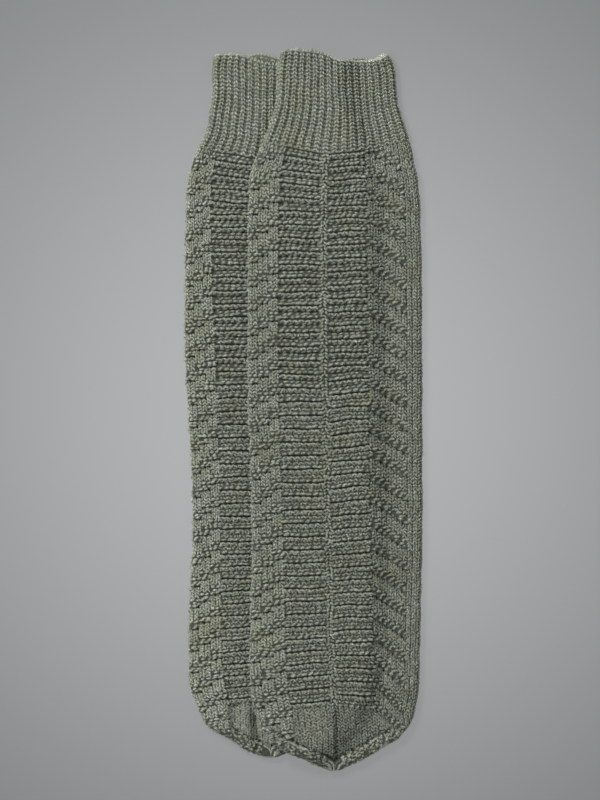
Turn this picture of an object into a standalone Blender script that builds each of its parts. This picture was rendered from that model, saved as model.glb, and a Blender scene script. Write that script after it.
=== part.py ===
"""A pair of hand-knit wool tube socks lying flat, the right one laid over the left one.

Each sock is one knitted tube with no heel: a ribbed cuff, a long patterned leg and a plain toe.
Across the front of the leg lie, from left to right, a texture panel, a welt panel, a narrow ladder,
a second welt panel, a second texture panel and a plain band that turns under at the right fold.
The wall is raised on its outside and plain on its inside, and its underside is flat.

Axes: +X to the right, +Y toward the cuffs, +Z up from the surface that the pair lies on.
The origin is on that surface, under the middle of the pair.
Constants and tables are in millimetres, and the meshes are in metres.
"""
import bisect
import math
from collections import namedtuple

import bmesh
import bpy
import numpy as np

METRES = 0.001

# Wall of the tube. The sock's front and back lie on each other with a thin gap between them.
WALL = 2.5
POCKET_GAP = 0.6
FOLD_RADIUS = WALL + POCKET_GAP / 2
FLAT_HEIGHT = 2 * FOLD_RADIUS
NARROWEST_TOP = 0.16

# The front wall stands up a little at the open rim, except at its two corners.
MOUTH_REACH = 16.0
MOUTH_CORNER_RISE = 8.0

# The toe thins toward its gathered tip.
TIP_REACH = 9.0
TIP_FLATTENING = 1.6

# Ribs of the cuff, one knit and one purl stitch each, counted across the front.
RIBS = 17
RIB_HEIGHT = 0.9
RIB_RIDGE = (0.28, 0.72)
RIM_ROUNDING = 0.7
NARROW_CUFF_Y = 197.5

# Welts of the leg. Each is a ridge of purl rows that ends in a furrow.
ROWS_PER_WELT = 4
WELT_HEIGHT = 1.0
FURROW_DEPTH = 0.4
WELT_PROFILE = ((0.0, -FURROW_DEPTH), (0.26, WELT_HEIGHT), (0.74, WELT_HEIGHT))
LADDER_HEIGHT = 0.7
LEFT_PHASE = 0.0
RIGHT_PHASE = 0.5
FIRST_ROW = 0.2
LAST_ROW_GAP = 0.15

# Stitches across the front, counted from the ladder's middle to the places of panel_marks.
WELT_EDGE = 8.0
BAND_EDGE = 15.0
LEFT_TOP_STITCH = -12.4
RIGHT_TOP_STITCH = 16.8
STITCH_MARKS = (LEFT_TOP_STITCH, -WELT_EDGE, 0.0, WELT_EDGE, BAND_EDGE, RIGHT_TOP_STITCH)

# Columns of points on the front of the leg, by their stitch, and on its folds, by their turn in degrees.
LEFT_WELT_STITCHES = (-7.5, -0.8)
RIGHT_WELT_STITCHES = (0.8, 6.0, 7.5)
BAND_STITCHES = (15.7, RIGHT_TOP_STITCH)
SCALLOP_TURNS = (0.0, 35.0, 65.0)
BAND_TURNS = (55.0, 0.0)
UNDER_TURN = 45.0

# Columns of the plain underside and inside, as shares of the width between the folds.
UNDER_SHARES = (1.0, 0.65, 0.3, 0.0)
UNDER_SHARES_DRAPED = (1.0, 0.92, 0.86, 0.81, 0.76, 0.71, 0.66, 0.6, 0.45, 0.25, 0.0)
POCKET_SHARES = (0.0, 0.3, 0.6, 0.8, 1.0)
POCKET_SHARES_DRAPED = (0.0, 0.2, 0.4, 0.55, 0.62, 0.69, 0.76, 0.83, 0.9, 1.0)

# Cells of the texture panels. Each steps outward one stitch a row, and its rise ends in a short drop.
ROWS_PER_CELL = 7
STITCHES_PER_CELL = 7.0
POINTS_PER_CELL = 5
LEFT_CELL_ROW = 2.5
RIGHT_CELL_ROW = 1.5
LEFT_CELL_STITCHES = (LEFT_TOP_STITCH, -11.0, -9.7, -8.3)
RIGHT_CELL_STITCHES = (8.3, 9.63, 10.97, 12.3, 13.63, 14.8)
CELL_HEIGHT = 0.9
CELL_DROP = 0.25
SCALLOP_HEIGHT = 0.8
BAND_HEIGHT = 0.5
PATTERN_FADE = 2.0

# Widths of the panels where the leg is LEG_WIDTH wide.
LEG_WIDTH = 110.0
LEFT_WELT_WIDTH = 29.3
RIGHT_WELT_WIDTH = 28.0
BAND_INSET = 8.3
NARROW_SHARE = 0.12

# The upper sock rides over the lower one and comes down to the surface beside it.
CLEARANCE = 0.6
RIDE_HEIGHT = FLAT_HEIGHT + WELT_HEIGHT + CLEARANCE
RAMP_START = 3.5
RAMP = 17.0

# Points on each side of the lower sock's outline, from which the way down is measured.
EDGE_POINTS = 120

# Middle of the pair's outline in the tables below, which becomes the origin.
PAIR_MIDDLE_X = -0.69
PAIR_MIDDLE_Y = 0.15

# Steps that settle a point on its slanting course.
PLACE_STEPS = 4

# Keys round the tube go from 0 to FULL_TURN, and keys nearer than KEY_TIE count as level.
FULL_TURN = 2.0
KEY_TIE = 0.0001

# Rows with few points, as shares of the cuff, of the leg and of the toe.
CUFF_ROWS = (0.05, 0.1, 0.24, 0.4, 0.56, 0.74, 0.9, 0.975)
PLAIN_ROWS = (0.03, 0.07, 0.13, 0.22, 0.32, 0.42, 0.52, 0.62, 0.72, 0.82, 0.9, 0.96)
TOE_ROWS = (0.07, 0.16, 0.25, 0.34, 0.43, 0.52, 0.61, 0.7, 0.79, 0.87, 0.94, 1.0)
POCKET_CUFF_ROWS = (1.0, 0.85, 0.6, 0.3, 0.0)
POCKET_TOE_ROWS = 8

WOOL_COLOUR = (0.155, 0.165, 0.125, 1.0)
WOOL_ROUGHNESS = 0.95

Section = namedtuple("Section", "y left right ladder")
Course = namedtuple("Course", "ladder_y left_fold left_edge right_edge right_fold")
Rim = namedtuple("Rim", "across front back")
Crease = namedtuple("Crease", "x1 y1 x2 y2 width depth")
Spacing = namedtuple("Spacing", "welts ladder_y")
Sock = namedtuple("Sock", "name sections courses rims creases spacing cuff_base toe_start tip mouth_lift rides")
Column = namedtuple("Column", "side place at rows pattern")

# Outline of each sock and the line of its ladder, from the rim to the tip of the toe.
UPPER_SECTIONS = (
    Section(228.9, -14.6, 52.2, 19.7),
    Section(220.4, -15.9, 56.9, 19.7),
    Section(197.5, -17.2, 59.1, 17.8),
    Section(187.9, -19.4, 61.7, 16.8),
    Section(168.9, -26.7, 67.4, 14.3),
    Section(156.1, -31.2, 70.0, 13.4),
    Section(146.6, -34.3, 72.2, 13.0),
    Section(114.8, -35.0, 74.0, 12.7),
    Section(57.6, -35.2, 74.7, 12.7),
    Section(6.7, -35.2, 74.8, 13.4),
    Section(-31.5, -33.7, 75.0, 14.0),
    Section(-82.4, -32.8, 75.0, 15.6),
    Section(-132.6, -33.7, 73.8, 16.5),
    Section(-158.7, -34.3, 73.5, 17.5),
    Section(-177.8, -33.5, 72.5, 18.4),
    Section(-193.0, -30.5, 70.0, 20.2),
    Section(-200.7, -27.3, 66.8, 21.0),
    Section(-208.6, -22.9, 60.4, 21.3),
    Section(-213.4, -18.4, 53.4, 21.3),
    Section(-216.6, -13.4, 47.7, 21.2),
    Section(-221.0, -1.9, 40.1, 21.0),
    Section(-224.8, 5.7, 32.4, 20.8),
    Section(-228.4, 13.4, 25.5, 20.4),
)
LOWER_SECTIONS = (
    Section(226.7, -56.7, 15.3, -22.3),
    Section(219.1, -58.2, 17.2, -22.3),
    Section(197.5, -58.5, 17.8, -24.0),
    Section(187.9, -60.1, 19.1, -25.4),
    Section(176.5, -62.6, 22.9, -28.0),
    Section(164.4, -68.7, 26.7, -30.0),
    Section(154.2, -71.6, 29.3, -30.5),
    Section(144.1, -73.8, 31.8, -30.8),
    Section(123.7, -75.0, 34.0, -30.5),
    Section(70.3, -75.7, 34.7, -28.6),
    Section(16.9, -74.8, 35.0, -26.7),
    Section(-37.8, -71.2, 35.6, -25.4),
    Section(-82.4, -70.7, 35.6, -24.8),
    Section(-112.9, -72.2, 35.0, -24.4),
    Section(-151.1, -73.1, 33.7, -24.2),
    Section(-172.0, -73.1, 31.8, -22.9),
    Section(-188.6, -67.7, 26.1, -21.6),
    Section(-200.0, -62.3, 18.4, -21.2),
    Section(-208.9, -49.6, 7.0, -21.0),
    Section(-213.1, -42.6, 0.0, -21.0),
    Section(-216.6, -36.3, -6.4, -21.0),
    Section(-220.1, -27.5, -14.5, -21.0),
)

# How far each course of stitches lies above its height at the ladder, at four places across.
UPPER_COURSES = (
    Course(162.5, 8.3, 5.1, 3.2, 10.2),
    Course(146.6, 5.7, 3.2, 1.3, 5.7),
    Course(127.5, 2.9, 1.6, 1.0, 2.9),
    Course(102.1, 1.0, 0.6, 0.6, 1.3),
    Course(51.2, 0.0, 0.0, 1.0, 1.3),
    Course(6.7, -0.3, 0.0, 2.2, 2.2),
    Course(-44.2, -1.3, -0.3, 2.5, 2.5),
    Course(-95.1, -1.9, -0.6, 2.2, 1.9),
    Course(-133.2, -2.9, -1.9, 1.3, 0.6),
    Course(-158.7, -3.8, -2.9, -0.3, -1.9),
    Course(-187.3, -4.5, -2.5, -2.5, -5.7),
    Course(-207.7, -5.7, -3.2, -2.5, -5.7),
    Course(-219.1, -3.2, -1.0, -1.0, -3.2),
    Course(-228.4, 0.0, 0.0, 0.0, 0.0),
)
LOWER_COURSES = (
    Course(160.6, 7.5, 4.5, 3.2, 9.5),
    Course(144.1, 5.4, 3.0, 1.5, 5.7),
    Course(123.7, 2.5, 1.5, 1.0, 2.9),
    Course(95.7, 0.6, 0.4, 0.6, 1.3),
    Course(16.9, -1.0, -0.6, 1.5, 1.8),
    Course(-82.4, -1.6, -0.8, 2.0, 1.8),
    Course(-132.6, -3.4, -2.2, 1.0, 0.0),
    Course(-158.7, -4.5, -3.2, -0.6, -2.5),
    Course(-184.1, -5.0, -3.2, -2.5, -5.7),
    Course(-202.0, -5.7, -3.2, -2.5, -5.7),
    Course(-213.0, -3.2, -1.0, -1.0, -3.2),
    Course(-220.1, 0.0, 0.0, 0.0, 0.0),
)

# Height of the rim on the front and on the back wall, from the left fold (0) to the right fold (1).
UPPER_RIMS = (
    Rim(0.0, 228.2, 228.2),
    Rim(0.1, 228.7, 227.6),
    Rim(0.38, 226.7, 223.6),
    Rim(0.53, 222.3, 222.6),
    Rim(0.73, 222.0, 224.4),
    Rim(0.86, 222.9, 222.9),
    Rim(1.0, 226.7, 226.7),
)
LOWER_RIMS = (
    Rim(0.0, 226.4, 226.4),
    Rim(0.1, 227.2, 226.0),
    Rim(0.22, 226.1, 225.6),
    Rim(0.31, 223.8, 226.3),
    Rim(0.39, 221.9, 227.4),
    Rim(0.47, 220.7, 226.4),
    Rim(0.55, 220.3, 224.5),
    Rim(0.8, 221.6, 222.9),
    Rim(1.0, 224.2, 224.2),
)

# Soft troughs (positive depth) and ridges (negative depth) pressed into the front.
UPPER_CREASES = (
    Crease(-3.5, -193.0, -1.5, -212.0, 4.5, 1.1),
    Crease(27.0, -196.0, 25.5, -213.0, 5.5, 1.0),
    Crease(11.5, -192.0, 14.5, -214.0, 6.0, -0.9),
    Crease(49.0, -170.1, 60.4, -183.5, 3.0, 1.2),
    Crease(56.0, -167.0, 66.0, -180.0, 3.0, -0.7),
    Crease(-8.9, -207.0, 18.0, -221.0, 2.4, 0.8),
    Crease(46.0, -207.0, 29.0, -217.5, 2.4, 0.5),
)
LOWER_CREASES = (
    Crease(-46.5, -176.0, -44.0, -198.0, 4.0, 1.2),
    Crease(-37.5, -195.0, -36.5, -211.0, 3.0, -1.0),
    Crease(-29.0, -198.0, -24.0, -213.0, 5.0, 1.2),
    Crease(-55.0, -180.0, -52.0, -200.0, 4.0, -0.6),
)

# Welts counted down the leg from the cuff's base, closer together near its two ends.
UPPER_SPACING = (
    Spacing(0, 162.5),
    Spacing(2, 146.5),
    Spacing(7, 105.6),
    Spacing(13, 54.3),
    Spacing(18, 10.5),
    Spacing(24, -40.7),
    Spacing(29, -83.3),
    Spacing(34, -123.6),
    Spacing(39, -162.6),
    Spacing(42, -187.3),
)
LOWER_SPACING = (
    Spacing(0, 160.6),
    Spacing(2, 143.7),
    Spacing(7, 105.1),
    Spacing(11, 72.8),
    Spacing(14, 47.4),
    Spacing(18, 13.2),
    Spacing(23, -28.7),
    Spacing(27, -62.2),
    Spacing(32, -101.9),
    Spacing(37, -139.8),
    Spacing(42, -177.0),
    Spacing(43, -184.1),
)

UPPER = Sock(
    name="sock_upper",
    sections=UPPER_SECTIONS,
    courses=UPPER_COURSES,
    rims=UPPER_RIMS,
    creases=UPPER_CREASES,
    spacing=UPPER_SPACING,
    cuff_base=162.5,
    toe_start=-187.3,
    tip=-228.4,
    mouth_lift=1.0,
    rides=True,
)
LOWER = Sock(
    name="sock_lower",
    sections=LOWER_SECTIONS,
    courses=LOWER_COURSES,
    rims=LOWER_RIMS,
    creases=LOWER_CREASES,
    spacing=LOWER_SPACING,
    cuff_base=160.6,
    toe_start=-184.1,
    tip=-220.1,
    mouth_lift=0.2,
    rides=False,
)


def within(value, low, high):
    """A value held between two limits."""
    return min(max(value, low), high)


def eased(share):
    """A smooth step from 0 to 1."""
    return share * share * (3 - 2 * share)


class Curve:
    """Smooth curve through the rows of a table that never overshoots them."""

    def __init__(self, rows, key, name):
        order = sorted(rows, key=lambda row: getattr(row, key))
        self.knots = [getattr(row, key) for row in order]
        self.values = [getattr(row, name) for row in order]
        steps = [
            (self.values[i + 1] - self.values[i]) / (self.knots[i + 1] - self.knots[i])
            for i in range(len(order) - 1)
        ]
        self.slopes = [steps[0]]
        self.slopes += [self.limited(before, after) for before, after in zip(steps, steps[1:])]
        self.slopes.append(steps[-1])

    @staticmethod
    def limited(before, after):
        """Slope at a row: zero at a turning point, else the harmonic mean of its neighbours."""
        if before * after <= 0:
            return 0.0
        return 2 * before * after / (before + after)

    def at(self, place):
        """Value at a place, held at the first and last row beyond them."""
        place = within(place, self.knots[0], self.knots[-1])
        i = within(bisect.bisect_left(self.knots, place) - 1, 0, len(self.knots) - 2)
        gap = self.knots[i + 1] - self.knots[i]
        t = (place - self.knots[i]) / gap
        value = self.values[i] + (self.values[i + 1] - self.values[i]) * eased(t)
        value += gap * self.slopes[i] * t * (1 - t) ** 2
        return value - gap * self.slopes[i + 1] * t * t * (1 - t)


class SockForm:
    """Where the points of one sock lie, worked out from its tables."""

    def __init__(self, sock):
        self.sock = sock
        self.left = Curve(sock.sections, "y", "left")
        self.right = Curve(sock.sections, "y", "right")
        self.ladder = Curve(sock.sections, "y", "ladder")
        self.rims = {
            "top": Curve(sock.rims, "across", "front"),
            "under": Curve(sock.rims, "across", "back"),
        }
        names = ("left_fold", "left_edge", "right_edge", "right_fold")
        self.rises = [Curve(sock.courses, "ladder_y", name) for name in names]
        self.rim_top = max(row.front for row in sock.rims)

    def fold_width(self, y, edge):
        """How far a fold's rounding reaches in from the outline, more where the outline slants."""
        slant = (edge.at(y + 1) - edge.at(y - 1)) / 2
        widest = (1 - NARROWEST_TOP) / 2 * (self.right.at(y) - self.left.at(y))
        return min(FOLD_RADIUS * math.hypot(1, slant), widest)

    def top_ends(self, y):
        """X where the front leaves the rounding of the left and the right fold."""
        left_top = self.left.at(y) + self.fold_width(y, self.left)
        right_top = self.right.at(y) - self.fold_width(y, self.right)
        return left_top, right_top

    def panel_marks(self, y):
        """X of each stitch of STITCH_MARKS at a height."""
        right = self.right.at(y)
        ladder = self.ladder.at(y)
        scale = (right - self.left.at(y)) / LEG_WIDTH
        left_top, right_top = self.top_ends(y)
        left_welt = ladder - LEFT_WELT_WIDTH * scale
        left_welt = max(left_welt, left_top + NARROW_SHARE * (ladder - left_top))
        right_welt = ladder + RIGHT_WELT_WIDTH * scale
        band = right - BAND_INSET * scale
        band = min(band, right_top - NARROW_SHARE * (right_top - right_welt))
        return left_top, left_welt, ladder, right_welt, band, right_top

    def across(self, column, y):
        """X of a column of points at a height."""
        if column.place == "stitch":
            return float(np.interp(column.at, STITCH_MARKS, self.panel_marks(y)))
        if column.place == "left_fold":
            return self.left.at(y) + self.fold_width(y, self.left) * (1 - math.cos(column.at))
        if column.place == "right_fold":
            return self.right.at(y) - self.fold_width(y, self.right) * (1 - math.cos(column.at))
        left_top, right_top = self.top_ends(y)
        return left_top + column.at * (right_top - left_top)

    def course_rise(self, x, ladder_y):
        """How far the course that crosses the ladder at ladder_y lies above that height at x."""
        left = self.left.at(ladder_y)
        right = self.right.at(ladder_y)
        ladder = self.ladder.at(ladder_y)
        scale = (right - left) / LEG_WIDTH
        left_edge = ladder - LEFT_WELT_WIDTH * scale
        right_edge = ladder + RIGHT_WELT_WIDTH * scale
        left_fold, left_welt, right_welt, right_fold = [rise.at(ladder_y) for rise in self.rises]
        marks = (left, left_edge, ladder, right_edge, right)
        return float(np.interp(x, marks, (left_fold, left_welt, 0.0, right_welt, right_fold)))

    def row_place(self, column, ladder_y, climb):
        """X and Y of a point on a course, or part of the way from the cuff's base to its rim."""
        y = ladder_y
        for _ in range(PLACE_STEPS):
            x = self.across(column, y)
            base = ladder_y + self.course_rise(x, ladder_y)
            left = self.left.at(y)
            share = within((x - left) / (self.right.at(y) - left), 0.0, 1.0)
            y = base + climb * (self.rims[column.side].at(share) - base)
        return self.across(column, y), y

    def skin_height(self, x, y, side):
        """Height of the plain outer skin above the underside."""
        reach_left = (x - self.left.at(y)) / self.fold_width(y, self.left)
        reach_right = (self.right.at(y) - x) / self.fold_width(y, self.right)
        reach = within(min(reach_left, reach_right), 0.0, 1.0)
        bulge = FOLD_RADIUS * math.sqrt(1 - (1 - reach) ** 2)
        return FOLD_RADIUS + bulge if side == "top" else FOLD_RADIUS - bulge

    def mouth_lift(self, y):
        """How far the front wall stands up near the open rim."""
        share = within((y - self.rim_top + MOUTH_REACH) / MOUTH_REACH, 0.0, 1.0)
        return self.sock.mouth_lift * share * share

    def tip_flattening(self, y):
        """How far the toe thins toward its gathered tip."""
        share = within(1 - (y - self.sock.tip) / TIP_REACH, 0.0, 1.0)
        return TIP_FLATTENING * share * share

    def ring_key(self, x, y, side):
        """Place round the tube: 0 at the left fold, 1 at the right fold and toward 2 underneath."""
        share = (x - self.left.at(y)) / (self.right.at(y) - self.left.at(y))
        return share if side == "top" else FULL_TURN - share

    def right_edge_route(self):
        """Points down the outline's right side and round the toe to its left side."""
        heights = np.linspace(self.rim_top, self.sock.tip, EDGE_POINTS)
        right = [(self.right.at(y), y) for y in heights]
        left = [(self.left.at(y), y) for y in reversed(heights) if y < self.sock.toe_start]
        return np.array(right + left)

    def crease_depth(self, x, y):
        """How deep the creases press the front in at a point."""
        total = 0.0
        for crease in self.sock.creases:
            run_x = crease.x2 - crease.x1
            run_y = crease.y2 - crease.y1
            along = (x - crease.x1) * run_x + (y - crease.y1) * run_y
            share = within(along / (run_x ** 2 + run_y ** 2), 0.0, 1.0)
            distance = math.hypot(x - crease.x1 - share * run_x, y - crease.y1 - share * run_y)
            total += crease.depth * math.exp(-(distance / crease.width) ** 2)
        return total


class Drape:
    """Height of the upper sock's underside, which rides over the lower sock and comes down beside it."""

    def __init__(self, lower):
        self.lower = lower
        self.edge = lower.right_edge_route()

    def at(self, x, y):
        """Height of the underside above the surface at a point."""
        if y >= self.lower.sock.tip and x <= self.lower.right.at(y):
            if x >= self.lower.left.at(y) or y > self.lower.sock.toe_start:
                return RIDE_HEIGHT
        distance = float(np.min(np.hypot(self.edge[:, 0] - x, self.edge[:, 1] - y)))
        return RIDE_HEIGHT * (1 - eased(within((distance - RAMP_START) / RAMP, 0.0, 1.0)))


class Surface:
    """The flat surface that the lower sock lies on."""

    def at(self, x, y):
        """Height of the underside above the surface, which is nothing anywhere."""
        return 0.0


def pattern_height(sock, column, ladder_y, mark):
    """Height of the leg's pattern at a column.

    The mark is the row's height in its welt, or on a texture panel the cells counted above the row.
    """
    fade = within(1 - (sock.toe_start - ladder_y) / PATTERN_FADE, 0.0, 1.0)
    if ladder_y == sock.cuff_base:
        fade = 0.0
    stitch = column.at if column.place == "stitch" else LEFT_TOP_STITCH
    phase = (mark - (abs(stitch) - WELT_EDGE) / STITCHES_PER_CELL) % 1.0
    cell = phase / (1 - CELL_DROP) if phase < 1 - CELL_DROP else (1 - phase) / CELL_DROP
    heights = {
        "welt": mark,
        "cell": CELL_HEIGHT * cell,
        "scallop": SCALLOP_HEIGHT * cell,
        "ladder": LADDER_HEIGHT,
        "band": BAND_HEIGHT,
        "plain": 0.0,
    }
    return heights[column.pattern] * fade


def leg_columns(sock):
    """Columns of points round the leg and toe, from the left fold over the front and back underneath."""
    scallops = [math.radians(turn) for turn in SCALLOP_TURNS]
    bands = [math.radians(turn) for turn in BAND_TURNS]
    columns = [Column("top", "left_fold", turn, "left_cell", "scallop") for turn in scallops]
    columns += [Column("top", "stitch", at, "left_cell", "cell") for at in LEFT_CELL_STITCHES]
    columns += [Column("top", "stitch", at, "left_welt", "welt") for at in LEFT_WELT_STITCHES]
    columns += [Column("top", "stitch", 0.0, "left_welt", "ladder")]
    columns += [Column("top", "stitch", at, "right_welt", "welt") for at in RIGHT_WELT_STITCHES]
    columns += [Column("top", "stitch", at, "right_cell", "cell") for at in RIGHT_CELL_STITCHES]
    columns += [Column("top", "stitch", BAND_EDGE, "plain", "plain")]
    columns += [Column("top", "stitch", at, "plain", "band") for at in BAND_STITCHES]
    columns += [Column("top", "right_fold", turn, "plain", "plain") for turn in bands]
    return columns + under_columns(sock)


def under_columns(sock):
    """Columns of the plain underside, from the right fold to the left fold, closer where it is draped."""
    shares = UNDER_SHARES_DRAPED if sock.rides else UNDER_SHARES
    turn = math.radians(UNDER_TURN)
    columns = [Column("under", "right_fold", turn, "plain", "plain")]
    columns += [Column("under", "share", at, "plain", "plain") for at in shares]
    columns += [Column("under", "left_fold", turn, "plain", "plain")]
    return columns


def cuff_columns(form):
    """Columns round the cuff: valleys and both edges of each ridge, evenly spaced round the front."""
    left_top, right_top = form.top_ends(NARROW_CUFF_Y)
    flat = right_top - left_top
    quarter = FOLD_RADIUS * math.pi / 2
    length = flat + 2 * quarter
    places = [(0.0, "valley")]
    for rib in range(RIBS):
        places += [(length * (rib + edge) / RIBS, "ridge") for edge in RIB_RIDGE]
        places.append((length * (rib + 1) / RIBS, "valley"))
    columns = []
    for along, pattern in places:
        if along < quarter:
            columns.append(Column("top", "left_fold", along / FOLD_RADIUS, "cuff", pattern))
        elif along > length - quarter:
            columns.append(Column("top", "right_fold", (length - along) / FOLD_RADIUS, "cuff", pattern))
        else:
            columns.append(Column("top", "share", (along - quarter) / flat, "cuff", pattern))
    return columns + under_columns(form.sock)


def pocket_columns(sock):
    """Columns of the plain inside, from the left over the ceiling to the right and back along the floor."""
    shares = POCKET_SHARES_DRAPED if sock.rides else POCKET_SHARES
    ceiling = [Column("top", "share", at, "pocket", "plain") for at in shares]
    floor = [Column("under", "share", at, "pocket", "plain") for at in reversed(shares)]
    return ceiling + floor


def welt_rows(sock, phase):
    """Ladder heights of the rows of a panel of welts, each with its height in the welt.

    The count starts one welt above the leg, because a phase may bring part of that welt down into it.
    """
    place = Curve(sock.spacing, "welts", "ladder_y")
    welts = sock.spacing[-1].welts
    rows = [(sock.cuff_base, 0.0)]
    for welt in range(-1, welts):
        for offset, height in WELT_PROFILE:
            down = welt + phase + offset
            if FIRST_ROW < down < welts - LAST_ROW_GAP:
                rows.append((place.at(down), height))
    rows.append((sock.toe_start, 0.0))
    return rows


def cell_rows(sock, first_row):
    """Ladder heights of the rows of a texture panel, each with the cells counted above it."""
    place = Curve(sock.spacing, "welts", "ladder_y")
    welts = sock.spacing[-1].welts
    cells = (welts * ROWS_PER_WELT - first_row) / ROWS_PER_CELL
    rows = [(sock.cuff_base, 0.0)]
    for point in range(math.ceil(cells * POINTS_PER_CELL)):
        above = point / POINTS_PER_CELL
        down = (first_row + above * ROWS_PER_CELL) / ROWS_PER_WELT
        if FIRST_ROW < down < welts - LAST_ROW_GAP:
            rows.append((place.at(down), above))
    rows.append((sock.toe_start, cells))
    return rows


def plain_rows(sock):
    """Ladder heights of the few rows of a part of the leg with no pattern."""
    length = sock.cuff_base - sock.toe_start
    middle = [(sock.cuff_base - share * length, 0.0) for share in PLAIN_ROWS]
    return [(sock.cuff_base, 0.0)] + middle + [(sock.toe_start, 0.0)]


def toe_rows(sock):
    """Ladder heights of the rows of the toe."""
    return [(sock.toe_start + share * (sock.tip - sock.toe_start), 0.0) for share in TOE_ROWS]


def closed_ring(ring):
    """A ring of (key, vertex) pairs with its first vertex repeated at the end."""
    return ring + [(ring[0][0] + FULL_TURN, ring[0][1])]


class SockMesh:
    """One sock as one closed wall: outer skin, rim and plain inside."""

    def __init__(self, sock, surface):
        self.sock = sock
        self.form = SockForm(sock)
        self.surface = surface
        self.mesh = bmesh.new()

    def add_point(self, x, y, z):
        """A vertex at a place in millimetres, moved so that the pair's middle is at the origin."""
        place = (x - PAIR_MIDDLE_X, y - PAIR_MIDDLE_Y, z)
        return self.mesh.verts.new([value * METRES for value in place])

    def add_outer(self, column, ladder_y, climb, height):
        """A vertex of the outer skin, moved out by the pattern, and its key round the tube."""
        form = self.form
        x, y = form.row_place(column, ladder_y, climb)
        z = form.skin_height(x, y, column.side)
        key = form.ring_key(x, y, column.side)
        push_x = 0.0
        push_z = height
        if column.place in ("left_fold", "right_fold"):
            outward = -1 if column.place == "left_fold" else 1
            push_x = outward * height * math.cos(column.at)
            push_z = height * math.sin(column.at)
        if column.side == "top":
            share = z / FOLD_RADIUS - 1
            push_z += share * (form.mouth_lift(y) - form.crease_depth(x, y) - form.tip_flattening(y))
        return key, self.add_point(x + push_x, y, z + push_z + self.surface.at(x, y))

    def add_inner(self, column, ladder_y, climb):
        """A vertex of the plain inside, one wall in from the outer skin, and its key round the tube."""
        form = self.form
        x, y = form.row_place(column, ladder_y, climb)
        z = FOLD_RADIUS - POCKET_GAP / 2
        if column.side == "top":
            open_share = min(1.0, MOUTH_CORNER_RISE * column.at * (1 - column.at))
            z += POCKET_GAP + form.mouth_lift(y) * open_share
        return form.ring_key(x, y, column.side), self.add_point(x, y, z + self.surface.at(x, y))

    def join(self, first, second):
        """Triangles between two chains of (key, vertex) pairs, each new edge as level as it can be."""
        i = 0
        j = 0
        while i < len(first) - 1 or j < len(second) - 1:
            step_first = abs(first[i + 1][0] - second[j][0]) if i < len(first) - 1 else math.inf
            step_second = abs(second[j + 1][0] - first[i][0]) if j < len(second) - 1 else math.inf
            if step_first <= step_second + KEY_TIE:
                self.mesh.faces.new((first[i][1], first[i + 1][1], second[j][1]))
                i += 1
            else:
                self.mesh.faces.new((first[i][1], second[j + 1][1], second[j][1]))
                j += 1

    def join_round(self, columns, chains):
        """Join each column's chain with the next one, and the last with the first."""
        for number, chain in enumerate(chains):
            following = chains[(number + 1) % len(chains)]
            if columns[number].rows == "right_cell":
                self.join(following, chain)
            else:
                self.join(chain, following)

    def close_end(self, ring, columns):
        """Close the end of a tube by joining the front half of its last ring with the back half."""
        half = sum(1 for column in columns if column.side == "top")
        front = ring[:half]
        back = [(FULL_TURN - key, vertex) for key, vertex in reversed(ring[half:])]
        self.join(front, back)

    def build_leg(self):
        """Patterned leg and plain toe. Returns the ring at the cuff's base."""
        sock = self.sock
        columns = leg_columns(sock)
        rows_of = {
            "left_welt": welt_rows(sock, LEFT_PHASE),
            "right_welt": welt_rows(sock, RIGHT_PHASE),
            "left_cell": cell_rows(sock, LEFT_CELL_ROW),
            "right_cell": cell_rows(sock, RIGHT_CELL_ROW),
            "plain": plain_rows(sock),
        }
        chains = []
        base_ring = []
        tip_ring = []
        for column in columns:
            chain = []
            for ladder_y, mark in rows_of[column.rows] + toe_rows(sock):
                height = pattern_height(sock, column, ladder_y, mark)
                key, vertex = self.add_outer(column, ladder_y, 0.0, height)
                chain.append((ladder_y, vertex))
                if ladder_y == sock.cuff_base:
                    base_ring.append((key, vertex))
            tip_ring.append((key, vertex))
            chains.append(chain)
        self.join_round(columns, chains)
        self.close_end(tip_ring, columns)
        return base_ring

    def build_cuff(self, base_ring):
        """Ribbed cuff above the leg. Returns the ring at the rim, whose edge is rounded."""
        heights = {"ridge": RIB_HEIGHT, "valley": 0.0, "plain": 0.0}
        first_ring = []
        rim_ring = []
        chains = []
        columns = cuff_columns(self.form)
        for column in columns:
            chain = []
            for climb in CUFF_ROWS:
                height = 0.0 if climb == CUFF_ROWS[0] else heights[column.pattern]
                key, vertex = self.add_outer(column, self.sock.cuff_base, climb, height)
                chain.append((climb, vertex))
                if climb == CUFF_ROWS[0]:
                    first_ring.append((key, vertex))
            rounding = 0.0 if column.side == "under" else -RIM_ROUNDING
            key, vertex = self.add_outer(column, self.sock.cuff_base, 1.0, rounding)
            chain.append((1.0, vertex))
            rim_ring.append((key, vertex))
            chains.append(chain)
        self.join_round(columns, chains)
        self.join(closed_ring(base_ring), closed_ring(first_ring))
        return rim_ring

    def build_pocket(self, rim_ring):
        """Plain inside, from the rim down to a closed end inside the toe."""
        sock = self.sock
        columns = pocket_columns(sock)
        rows = [(sock.cuff_base, climb) for climb in POCKET_CUFF_ROWS]
        lower_rows = plain_rows(sock)[1:] + toe_rows(sock)[:POCKET_TOE_ROWS]
        rows += [(ladder_y, 0.0) for ladder_y, _ in lower_rows]
        chains = []
        mouth_ring = []
        end_ring = []
        for column in columns:
            chain = []
            for number, (ladder_y, climb) in enumerate(rows):
                key, vertex = self.add_inner(column, ladder_y, climb)
                chain.append((number, vertex))
                if number == 0:
                    mouth_ring.append((key, vertex))
            end_ring.append((key, vertex))
            chains.append(chain)
        self.join_round(columns, chains)
        self.close_end(end_ring, columns)
        self.join(closed_ring(rim_ring), closed_ring(mouth_ring))

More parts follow.
